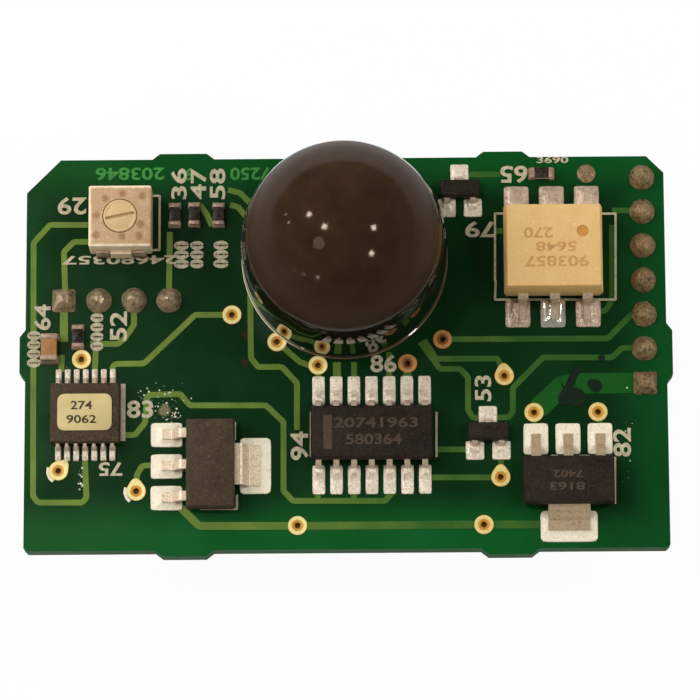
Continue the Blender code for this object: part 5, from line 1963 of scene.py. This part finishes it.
@dataclass
class Relay(Assembly):
    """The relay: a cream body with a round mark, and six leads with wide shoulders."""

    pitch: float = 2.54 * MM
    shifts: Tuple[float, float, float] = (0.35 * MM, 0.1 * MM, -0.1 * MM)
    shoulder: float = 0.74 * MM
    dot: float = 0.42 * MM
    dot_place: Flat = (2.08 * MM, 1.0 * MM)
    dot_depth: float = 0.08 * MM
    digits: Tuple[Print, ...] = (
        Print("270", (-1.09, 0.9), (2.1, 0.8), 180),
        Print("5648", (0.18, -0.12), (2.9, 0.72), 180),
        Print("903857", (0.2, -1.2), (4.6, 0.82), 180),
    )

    def lead(self) -> Piece:
        """One lead, wide as far as its first bend's foot.

        Returns:
            The object.
        """
        package = RELAY
        line = package.line()
        drop = package.exit - package.thickness * MM * 1.6
        wide, narrow = self.shoulder, package.lead_width * MM
        cut = next(index for index, point in enumerate(line) if point.y < drop)
        start, end = line[cut - 1], line[cut]
        share = (start.y - drop) / (start.y - end.y)
        at = start.lerp(end, share)
        path = [*line[:cut], at, at + (end - start).normalized() * 0.05 * MM, *line[cut:]]
        thick = package.thickness * MM
        return formed_strip("lead_unit", path, thick, lambda i: wide if i <= cut else narrow, 0.03 * MM)

    def build(self, kit: Kit) -> None:
        """Build the body, leads and solder.

        Args:
            kit: The shared patterns.
        """
        x, y = middle("relay_body")
        dot = turn_at(x + self.dot_place[0], y + self.dot_place[1])
        floor, above = RELAY.top - self.dot_depth, RELAY.top + self.dot_depth
        body = moved(RELAY.body("relay_moulding"), turn_at(x, y))
        carved(body, moved(lathe("dot", [(self.dot, floor), (self.dot, above)], 40), dot))
        deliver(body, ["relay_body"], RELAY_CREAM)
        spots, pads = [], []
        for side, turn in ((1, 0.0), (-1, math.pi)):
            for index, shift in enumerate(self.shifts):
                along = x + (index - 1) * self.pitch
                spots.append((along + shift * (side == -1), y, turn, 1.0))
                pads.append((along, y, turn, 1.0))
        nodes = [f"relay_lead_{number}" for number in range(1, 7)]
        kit.put("relay_leads", self.lead(), spots, LEAD_TIN, 0.02 * MM, nodes)
        # The front middle pad's solder is near white as a painted highlight; its low roughness is real
        # gloss.
        shiny = [pads.pop(4)]
        for name, places, finish, unevenness in (
            ("relay_solder", pads, RELAY_SOLDER, 0.1 * MM),
            ("relay_shiny_solder", shiny, HIGHLIT_SOLDER, 0.14 * MM),
        ):
            kit.put(name, RELAY.bed().unit("bed_unit"), places, finish, unevenness)
        level = RELAY.top - PRINT_SINK
        printed("relay_digits", self.digits, level, RELAY_MARK, turn_at(x, y))
        inner = self.dot - 0.01 * MM
        disc = lathe("relay_dot", [(inner, floor - 0.02 * MM), (inner, floor + 0.02 * MM)], 32)
        deliver(disc, (), RELAY_DOT, dot)


# Trimmer


@dataclass
class Trimmer(Assembly):
    """The trimmer: a square housing, three terminals, and a rotor with a screwdriver slot."""

    side: float = 4.5 * MM
    bottom: float = 1.85 * MM
    top: float = 4.3 * MM
    chamfer: float = 0.12 * MM
    rotor: float = 1.2 * MM
    thick: float = 0.5 * MM
    proud: float = 0.06 * MM
    post: float = 0.45 * MM
    post_length: float = 0.8 * MM
    clearance: float = 0.05 * MM
    slot: Tuple[float, float, float] = (2.15 * MM, 0.26 * MM, 0.25 * MM)
    slot_turn: float = math.radians(11.0)
    strip: Flat = (0.9 * MM, 0.15 * MM)
    strip_rise: float = 1.3 * MM
    strip_under: float = 0.7 * MM

    def housing(self, centre: Flat) -> Piece:
        """The housing with its well.

        Args:
            centre: The rotor's axis.

        Returns:
            The object.
        """
        half = self.side / 2
        levels = (
            (self.bottom, 0.02 * MM),
            (self.bottom + 0.05 * MM, 0.0),
            (self.top - self.chamfer, 0.0),
            (self.top - self.chamfer * 0.4, self.chamfer * 0.25),
            (self.top, self.chamfer),
        )
        body = pillow("trimmer_shell", (half, half), levels, 0.14 * MM)
        gap = self.clearance
        under = self.top + self.proud - self.thick - gap
        well = [
            (self.rotor + gap + 0.02 * MM, self.top + self.chamfer),
            (self.rotor + gap + 0.02 * MM, self.top - 0.005 * MM),
            (self.rotor + gap, self.top - 0.03 * MM),
            (self.rotor + gap, under),
            (self.post + gap, under),
            (self.post + gap, under - self.post_length),
        ]
        carved(body, lathe("well", well, 72))
        nub_levels = ((self.bottom, 0.0), (self.bottom + 1.1 * MM, 0.05 * MM))
        nub = pillow("nub", (0.8 * MM, 0.3 * MM), nub_levels, 0.08 * MM)
        moved(nub, Matrix.Translation((0, -half, 0)))
        return moved(joined("trimmer_shell", [body, nub]), turn_at(*centre))

    def turning(self, centre: Flat) -> Piece:
        """The rotor.

        Args:
            centre: Its axis.

        Returns:
            The object.
        """
        face = self.top + self.proud
        under = face - self.thick
        profile = [
            (0.02 * MM, face),
            (self.rotor - 0.3 * MM, face),
            (self.rotor - 0.24 * MM, face - 0.03 * MM),
            (self.rotor - 0.18 * MM, face),
            (self.rotor - 0.08 * MM, face),
            (self.rotor - 0.02 * MM, face - 0.03 * MM),
            (self.rotor, face - 0.09 * MM),
            (self.rotor, under),
            (self.post, under),
            (self.post, under - self.post_length),
        ]
        disc = lathe("trimmer_disc", profile, 72)
        length, width, depth = self.slot
        levels = ((face - depth, 0.02 * MM), (face + depth, 0.0))
        tool = pillow("slot", (length / 2, width / 2), levels, 0.05 * MM)
        carved(disc, moved(tool, Matrix.Rotation(self.slot_turn, 4, "Z")))
        return moved(disc, turn_at(*centre))

    def terminal(self) -> Piece:
        """One terminal: a strip down the housing's side and in under it, on the Y side.

        Returns:
            The object.
        """
        width, thick = self.strip
        foot, side = FOOT_BOTTOM + thick / 2, self.side / 2 + 0.02 * MM + thick / 2
        corners = ((side, foot + self.strip_rise), (side, foot), (side - self.strip_under, foot))
        line = rounded_line(corners, 0.12 * MM)
        return formed_strip("terminal", line, thick, lambda _: width, 0.02 * MM)

    def build(self, kit: Kit) -> None:
        """Build the housing, rotor, terminals and solder.

        Args:
            kit: The shared patterns.
        """
        x, y = middle("trimmer_rotor")
        shell_finish = TrimmerShell((x, y))
        deliver(self.housing((x, y)), ["trimmer_housing"], shell_finish)
        deliver(self.turning((x, y)), ["trimmer_rotor"], ROTOR_TAN, None, Body.ROTOR)
        spots = [(x + side * 1.35 * MM, y, math.pi, 1.0) for side in (-1, 1)] + [(x, y, 0.0, 1.0)]
        nodes = [f"trimmer_terminal_{number}" for number in (1, 2, 3)]
        kit.put("trimmer_terminals", self.terminal(), spots, LEAD_TIN, 0.0, nodes)
        half = self.side / 2
        bed = SolderBed(
            length=0.84 * MM,
            width=1.02 * MM,
            centre=half - 0.18 * MM,
            heel=half - 0.5 * MM,
            toe=half + 0.17 * MM,
            half_foot=0.45 * MM,
            climb=0.08 * MM,
            swell=0.01 * MM,
        )
        # The trimmer's solder takes the dark rough solder as painted shade under the housing.
        kit.put("trimmer_solder", bed.unit("bed"), spots, ROUGH_SOLDER, 0.02 * MM)


# Small parts


@dataclass
class ChipParts(Assembly):
    """Five chip resistors and a chip capacitor."""

    length: float = 1.6 * MM
    width: float = 0.8 * MM
    height: float = 0.45 * MM
    cap: float = 0.3 * MM

    def block(self, name: str, half: Flat, span: Flat, edge: float, along: float = 0.0) -> Piece:
        """A block with rounded edges.

        Args:
            name: The object's name.
            half: Half its length and width.
            span: Height of its underside and top.
            edge: Radius of its edges.
            along: Place of its middle along X.

        Returns:
            The object.
        """
        low, high = span
        levels = (
            (low, edge),
            (low + edge, 0.0),
            (high - edge, 0.0),
            (high - edge * 0.3, edge * 0.3),
            (high, edge),
        )
        return moved(pillow(name, half, levels, edge * 1.6), turn_at(along, 0.0))

    def pair(self, half: float, wide: float, span: Flat, cap: float) -> Piece:
        """The two plated ends of a chip part.

        Args:
            half: Half the part's length.
            wide: Its width.
            span: Height of its underside and top.
            cap: Length of each end.

        Returns:
            The object.
        """
        size, reach = (cap / 2, wide / 2), half - cap / 2
        ends = [self.block("caps", size, span, 0.05 * MM, side * reach) for side in (-1, 1)]
        return joined("caps", ends)

    def beds(self, bed: SolderBed) -> Piece:
        """The solder at both ends, from the bed at one."""
        turns = [Matrix.Rotation(side * math.pi / 2, 4, "Z") for side in (-1, 1)]
        return joined("beds", [moved(bed.unit("bed"), turn) for turn in turns])

    def resistors(self, kit: Kit) -> None:
        """Build the five resistors.

        Args:
            kit: The shared patterns.
        """
        nodes = [f"resistor_{number}" for number in range(1, 6)]
        spots = []
        for node in nodes:
            low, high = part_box(node)
            upright = high[1] - low[1] > high[0] - low[0]
            spots.append((*middle(node), math.pi / 2 if upright else 0.0, 1.0))
        base, top = FOOT_BOTTOM, FOOT_BOTTOM + self.height
        half, side = self.length / 2, self.width / 2
        size, span = (half - 0.03 * MM, side - 0.02 * MM), (base + 0.01 * MM, top - 0.05 * MM)
        slab = self.block("slab", size, span, 0.02 * MM)
        kit.put("resistor_slabs", slab, spots, WHITE_CERAMIC, 0.0, nodes)
        size = (half - self.cap + 0.03 * MM, side - 0.01 * MM)
        coat = self.block("coat", size, (top - 0.07 * MM, top - 0.01 * MM), 0.02 * MM)
        kit.put("resistor_coats", coat, spots, RESISTOR_COAT, 0.0, nodes)
        caps = self.pair(half, self.width, (base, top), self.cap)
        kit.put("resistor_ends", caps, spots, PINK_TIN, 0.01 * MM, nodes)
        bed = SolderBed(0.5 * MM, 0.94 * MM, half - 0.1 * MM, half - self.cap, half, side, 0.16 * MM)
        kit.put("resistor_solder", self.beds(bed), spots, PINK_TIN, 0.06 * MM)

    def capacitor(self, kit: Kit) -> None:
        """Build the capacitor.

        Args:
            kit: The shared patterns.
        """
        low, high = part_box("capacitor")
        half, side, inner = (high[1] - low[1]) / 2, (high[0] - low[0]) / 2, 0.04 * MM
        spots = [(*middle("capacitor"), math.pi / 2, 1.0)]
        size, span = (half - inner, side - inner), (low[2] + inner, high[2] - inner)
        body = self.block("body", size, span, 0.06 * MM)
        kit.put("capacitor_body", body, spots, BROWN_CERAMIC, 0.0, ["capacitor"])
        caps = self.pair(half, 2 * side, (low[2], high[2]), 0.4 * MM)
        kit.put("capacitor_ends", caps, spots, PINK_TIN, 0.03 * MM, ["capacitor"])
        bed = SolderBed(0.56 * MM, 1.4 * MM, half - 0.12 * MM, half - 0.4 * MM, half, side, 0.3 * MM)
        kit.put("capacitor_solder", self.beds(bed), spots, PINK_TIN, 0.1 * MM)

    def build(self, kit: Kit) -> None:
        """Build all six."""
        self.resistors(kit)
        self.capacitor(kit)


@dataclass
class Label(Assembly):
    """The paper label on the small chip, with plain numbers."""

    corner: float = 0.5 * MM
    digits: Tuple[Print, ...] = (
        Print("274", (-0.22, 0.5), (1.55, 0.64)),
        Print("9062", (-0.22, -0.52), (2.15, 0.62)),
    )

    def build(self, kit: Kit) -> None:
        """Build the label and its numbers.

        Args:
            kit: The shared patterns.
        """
        low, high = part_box("chip_label")
        half = ((high[0] - low[0]) / 2, (high[1] - low[1]) / 2)
        place = turn_at(*middle("chip_label"))
        levels = ((low[2], 0.0), (high[2] - 0.01 * MM, 0.0), (high[2], 0.015 * MM))
        paper = pillow("label_paper", half, levels, self.corner)
        deliver(paper, ["chip_label"], LabelPaper(), place)
        printed("label_digits", self.digits, high[2] - PRINT_SINK, LABEL_INK, place)


# Pin headers


@dataclass
class Header(Assembly):
    """A pin header: its housing hangs under the board and its pins are soldered on top."""

    name: str
    pins: int
    square_pin: int
    turn: float
    solder: Solder
    pitch: float = 2.54 * MM
    pin: float = 0.64 * MM
    tip: float = 0.34 * MM
    joint: float = 0.88 * MM

    def pin_unit(self) -> Piece:
        """One pin, with its chamfered lower tip.

        Returns:
            The object.
        """
        low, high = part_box(f"{self.name}_pin_1")
        bottom = low[2]
        half, end = self.pin / 2, self.tip / 2
        levels = (
            (bottom, half - end),
            (bottom + 0.08 * MM, half - end - 0.06 * MM),
            (bottom + 0.5 * MM, 0.0),
            (2.2 * MM, 0.0),
        )
        return pillow(f"{self.name}_pins", (half, half), levels, 0.05 * MM)

    def joint_unit(self) -> Piece:
        """The solder on one pin.

        Returns:
            The object.
        """
        slope = (
            (0.04, -0.02), (0.04, 0.06), (-0.02, 0.13), (-0.12, 0.3), (-0.26, 0.5),
            (-0.42, 0.68), (-0.58, 0.78), (-0.74, 0.82), (-0.85, 0.83),
        )
        profile = [(self.joint + out, height) for out, height in scaled(slope, BOARD_THICK)]
        return lathe("joint", profile, 36)

    def square_joint(self) -> Piece:
        """The solder on the pin that has a square pad.

        Returns:
            The object.
        """
        half = self.joint - 0.04 * MM
        slope = (
            (0.0, -0.02), (0.0, 0.07), (0.08, 0.16), (0.2, 0.42),
            (0.38, 0.66), (0.56, 0.78), (0.76, 0.82),
        )
        levels = [(height, inset) for inset, height in scaled(slope, BOARD_THICK)]
        return pillow("joint", (half, half), levels, 0.22 * MM)

    def build(self, kit: Kit) -> None:
        """Dress the housing, build the pins and their solder.

        Args:
            kit: The shared patterns.
        """
        dress_node(f"{self.name}_housing", HEADER_BLACK)
        nodes = [f"{self.name}_pin_{number}" for number in range(1, self.pins + 1)]
        spots = [(*middle(node), 0.8 * index, 1.0) for index, node in enumerate(nodes)]
        first, last = Vector(spots[0][:2]), Vector(spots[-1][:2])
        centre = (first + last) / 2
        pins, row = self.pin_unit(), {"Count": self.pins, "Pitch": self.pitch, "Both": False}
        kit.row.run(pins, PIN_GILT, Uneven=0.01 * MM, Seed=2.0, **row)
        deliver(pins, nodes, None, turn_at(centre.x, centre.y, self.turn))
        x, y, _, _ = spots.pop(self.square_pin)
        for kind, unit, places, unevenness in (
            ("round_joints", self.joint_unit(), spots, 0.22 * MM),
            ("square_joint", self.square_joint(), [(x, y, 0.0, 1.0)], 0.1 * MM),
        ):
            name = f"{self.name}_{kind}"
            kit.put(name, unit, places, self.solder, unevenness, nodes)


# Dirt


@dataclass
class Dirt(Assembly):
    """Marker strokes, solder specks and pale crescents on the board; places are in millimetres."""

    strokes: Tuple[Route, ...] = (
        (0.56, ((16.8, -1.25), (16.45, -1.7), (16.2, -2.2), (16.0, -2.7), (15.6, -3.3))),
    )
    blots: Tuple[Spot, ...] = (
        (16.5, -3.4, 0.4, 1.7), (15.75, -3.5, 1.2, 1.3), (17.95, -2.62, 0.8, 1.15),
        (17.7, -2.45, 2.4, 0.9), (18.4, -0.56, 0.2, 0.65),
    )
    crescents: Tuple[Route, ...] = (
        (0.22, ((-21.36, -8.3), (-21.4, -8.7), (-21.25, -9.1), (-21.0, -9.32))),
        (0.22, ((-15.8, -9.8), (-15.86, -10.2), (-15.72, -10.6), (-15.5, -10.82))),
    )
    speck_fields: Tuple[Tuple[float, float, float, float, int], ...] = (
        (-13.6, -3.3, 1.5, 1.2, 26), (-12.4, -4.6, 0.9, 0.5, 14), (-19.0, -9.4, 0.25, 1.1, 12),
        (-11.6, -6.0, 1.0, 0.2, 8), (-11.6, -8.6, 1.0, 0.2, 6), (-20.5, -1.2, 0.4, 0.5, 5),
        (13.3, -6.2, 0.7, 0.25, 5), (20.2, -6.4, 0.5, 2.6, 5), (-19.5, 1.4, 0.3, 0.9, 6),
    )

    def specks(self) -> List[Spot]:
        """Spots for the specks, spread by a fixed seed.

        Returns:
            X, Y, turn and size of each.
        """
        chance = random.Random(11)
        spots = []
        for x, y, wide, tall, count in self.speck_fields:
            for _ in range(count * 2):
                across, along = chance.gauss(0, 0.5), chance.gauss(0, 0.5)
                size = 0.35 + chance.random() ** 2 * 1.1
                place = ((x + across * wide) * MM, (y + along * tall) * MM)
                spots.append((*place, chance.random() * 6.28, size))
        return spots

    def build(self, kit: Kit) -> None:
        """Draw the marks.

        Args:
            kit: The shared patterns.
        """
        level = BOARD_THICK
        strokes = kit.track.draw("marker_strokes", self.strokes, MARKER, level, 0.046 * MM, 0.1 * MM)
        deliver(strokes)
        blot = lathe("blot", scaled(((0.42, 0.0), (0.4, 0.046), (0.02, 0.05)), level), 24)
        spots = [(x * MM, y * MM, turn, size) for x, y, turn, size in self.blots]
        kit.put("marker_blots", blot, spots, MARKER, 0.05 * MM)
        pale = kit.track.draw("pale_crescents", self.crescents, SPECK, level, 0.04 * MM, 0.1 * MM)
        deliver(pale)
        drop = scaled(((0.055, -0.01), (0.055, 0.02), (0.035, 0.05), (0.01, 0.055)), level)
        kit.put("solder_specks", lathe("speck", drop, 8), self.specks(), SPECK, 0.02 * MM)


# Studio


@dataclass(frozen=True)
class Softbox:
    """A square lamp that faces the board."""

    name: str
    azimuth: float
    elevation: float
    size: float
    level: float
    mirrored: bool = False
    distance: float = 0.5

    def hang(self) -> None:
        """Add the lamp."""
        lamp = bpy.data.lights.new(self.name, "AREA")
        lamp.size = self.size
        lamp.energy = self.level * math.pi * self.size**2
        turn, lift = math.radians(self.azimuth), math.radians(self.elevation)
        away = Vector((math.cos(turn) * math.cos(lift), math.sin(turn) * math.cos(lift), math.sin(lift)))
        made = object_of(self.name, lamp)
        made.visible_glossy = self.mirrored
        made.location = away * self.distance
        made.rotation_euler = away.to_track_quat("Z", "Y").to_euler()


@dataclass
class Studio:
    """Camera, lamps, pale floor and surroundings."""

    floor_height: float = -8.58 * MM
    floor_half: float = 3.0
    lens: float = 235.69
    turns: Tuple[float, float, float] = (-0.21075692, -0.01170103, 0.00695227)
    shift: Tuple[float, float, float] = (-0.3019 * MM, -0.2982 * MM, -330.0 * MM)
    aim: Tuple[float, float, float] = (0.0, 0.15 * MM, -1.6 * MM)
    lamps: Tuple[Softbox, ...] = (
        Softbox("lamp_left", 168, 36, 0.34, 4.3),
        Softbox("lamp_right", 8, 34, 0.3, 2.4),
        Softbox("lamp_front", 262, 30, 0.28, 0.7),
        Softbox("lamp_back", 96, 32, 0.3, 2.3),
    )
    spots: Tuple[Tuple[float, float, float, float], ...] = (
        (-0.576, 0.355, 0.736, 0.04), (-0.337, 0.115, 0.934, 0.046), (0.546, 0.106, 0.831, 0.042),
        (0.515, -0.353, 0.781, 0.04), (-0.856, 0.384, 0.346, 0.01), (-0.854, 0.25, 0.456, 0.012),
        (-0.786, -0.499, 0.366, 0.008), (-0.673, -0.598, 0.434, 0.01), (-0.451, -0.716, 0.533, 0.014),
    )

    def camera(self) -> None:
        """Set the camera where the photograph was taken from."""
        data = bpy.data.cameras.new("camera")
        data.lens = self.lens
        data.sensor_width = 36.0
        data.clip_start = 0.02
        data.clip_end = 20.0
        rx, ry, rz = self.turns
        turn = Matrix.Rotation(rz, 4, "Z") @ Matrix.Rotation(ry, 4, "Y") @ Matrix.Rotation(rx, 4, "X")
        view = Matrix.Translation(self.shift) @ turn @ Matrix.Translation(self.aim)
        made = object_of("camera", data)
        made.matrix_world = view.inverted()
        bpy.context.scene.camera = made

    def seen(self, web: Web) -> Signal:
        """1 for rays that show the background itself."""
        camera = web.node("ShaderNodeLightPath", output="Is Camera Ray")
        return camera.most(Signal(web, camera.socket.node.outputs["Is Transmission Ray"]))

    def floor(self) -> None:
        """Lay the pale floor."""
        half, level = self.floor_half, self.floor_height
        mesh = bpy.data.meshes.new("floor")
        sides = ((-half, -half), (half, -half), (half, half), (-half, half))
        corners = [(x, y, level) for x, y in sides]
        mesh.from_pydata(corners, [], [(0, 1, 2, 3)])
        made = object_of("floor", mesh)
        paint = Paint("pale_floor")
        plainly = paint.node("ShaderNodeBsdfDiffuse", None, {0: (0.95, 0.95, 0.95, 1.0)})
        white = paint.node("ShaderNodeEmission", None, {0: (1.0, 1.0, 1.0, 1.0), 1: 1.0})
        share = self.seen(paint) * 0.95
        both = paint.node("ShaderNodeMixShader", None, {0: share, 1: plainly, 2: white})
        paint.node("ShaderNodeOutputMaterial", None, {0: both})
        made.data.materials.append(paint.material)

    def surroundings(self) -> None:
        """A room that is dark overhead, mid-toned at the sides and white at the floor's level."""
        world = bpy.data.worlds.new("room")
        bpy.context.scene.world = world
        world.use_nodes = True
        web = Web(world.node_tree)
        web.tree.nodes.clear()
        direction = web.node("ShaderNodeTexCoord", output="Generated")
        parts = web.node("ShaderNodeSeparateXYZ", None, {0: direction}).socket.node
        height = Signal(web, parts.outputs[2])
        room = 0.05 + height.rise(0.8, 0.1) * 0.26
        white = self.seen(web) * height.rise(0.12, 0.04)
        level = room + (1 - room) * white
        light = web.node("ShaderNodeBackground", None, {0: (1.0, 0.92, 0.8, 1.0), 1: level})
        web.node("ShaderNodeOutputWorld", None, {0: light})

    def build(self) -> None:
        """Set up the whole studio."""
        self.camera()
        self.floor()
        self.surroundings()
        for lamp in self.lamps:
            lamp.hang()
        for number, (x, y, z, size) in enumerate(self.spots):
            azimuth = math.degrees(math.atan2(y, x))
            Softbox(f"spot_{number}", azimuth, math.degrees(math.asin(z)), size, 45.0, True).hang()
        bpy.context.scene.view_settings.view_transform = "Standard"


def main() -> None:
    """Build every sub-assembly in order."""
    logging.basicConfig(level=logging.INFO, format="%(name)s %(message)s")
    kit = Kit(Row(), Scatter(), Track())
    Studio().build()
    large_marks = (
        Print("20741963", (0.3, 0.62), (6.0, 0.75)),
        Print("580364", (0.15, -0.58), (4.0, 0.8)),
    )
    stripe = ((-3.14, -1.3), (-3.14, 1.2))
    right_marks = (
        Print("7402", (-0.07, 0.35), (2.1, 0.55), 180),
        Print("8163", (-0.14, -0.56), (2.5, 0.6), 180),
    )
    assemblies: List[Assembly] = [
        CircuitBoard(),
        DomeAndSensor(),
        Chip("small_chip", SMALL_CHIP, 0.65, CHIP_WARM, CHIP_SOLDER),
        Chip("large_chip", LARGE_CHIP, 1.27, CHIP_BLACK, CHIP_SOLDER, large_marks, stripe),
        Label(),
        # The left regulator takes the lit tin and a lighter moulding, the right one the shaded tin and a
        # darker moulding, as painted light from the left.
        Regulator("left_regulator", math.pi / 2, CHIP_BROWN, LIT_TIN),
        Regulator("right_regulator", 0.0, CHIP_DARK, SHADED_TIN, right_marks),
        Transistor("upper_transistor"),
        Transistor("lower_transistor"),
        Relay(),
        Trimmer(),
        ChipParts(),
        Header("long_header", 7, 6, math.pi / 2, ROUGH_SOLDER),
        Header("short_header", 4, 0, 0.0, JOINT_SOLDER),
        Dirt(),
    ]
    for assembly in assemblies:
        LOG.info("building %s", type(assembly).__name__)
        assembly.build(kit)


if __name__ == "__main__":
    main()
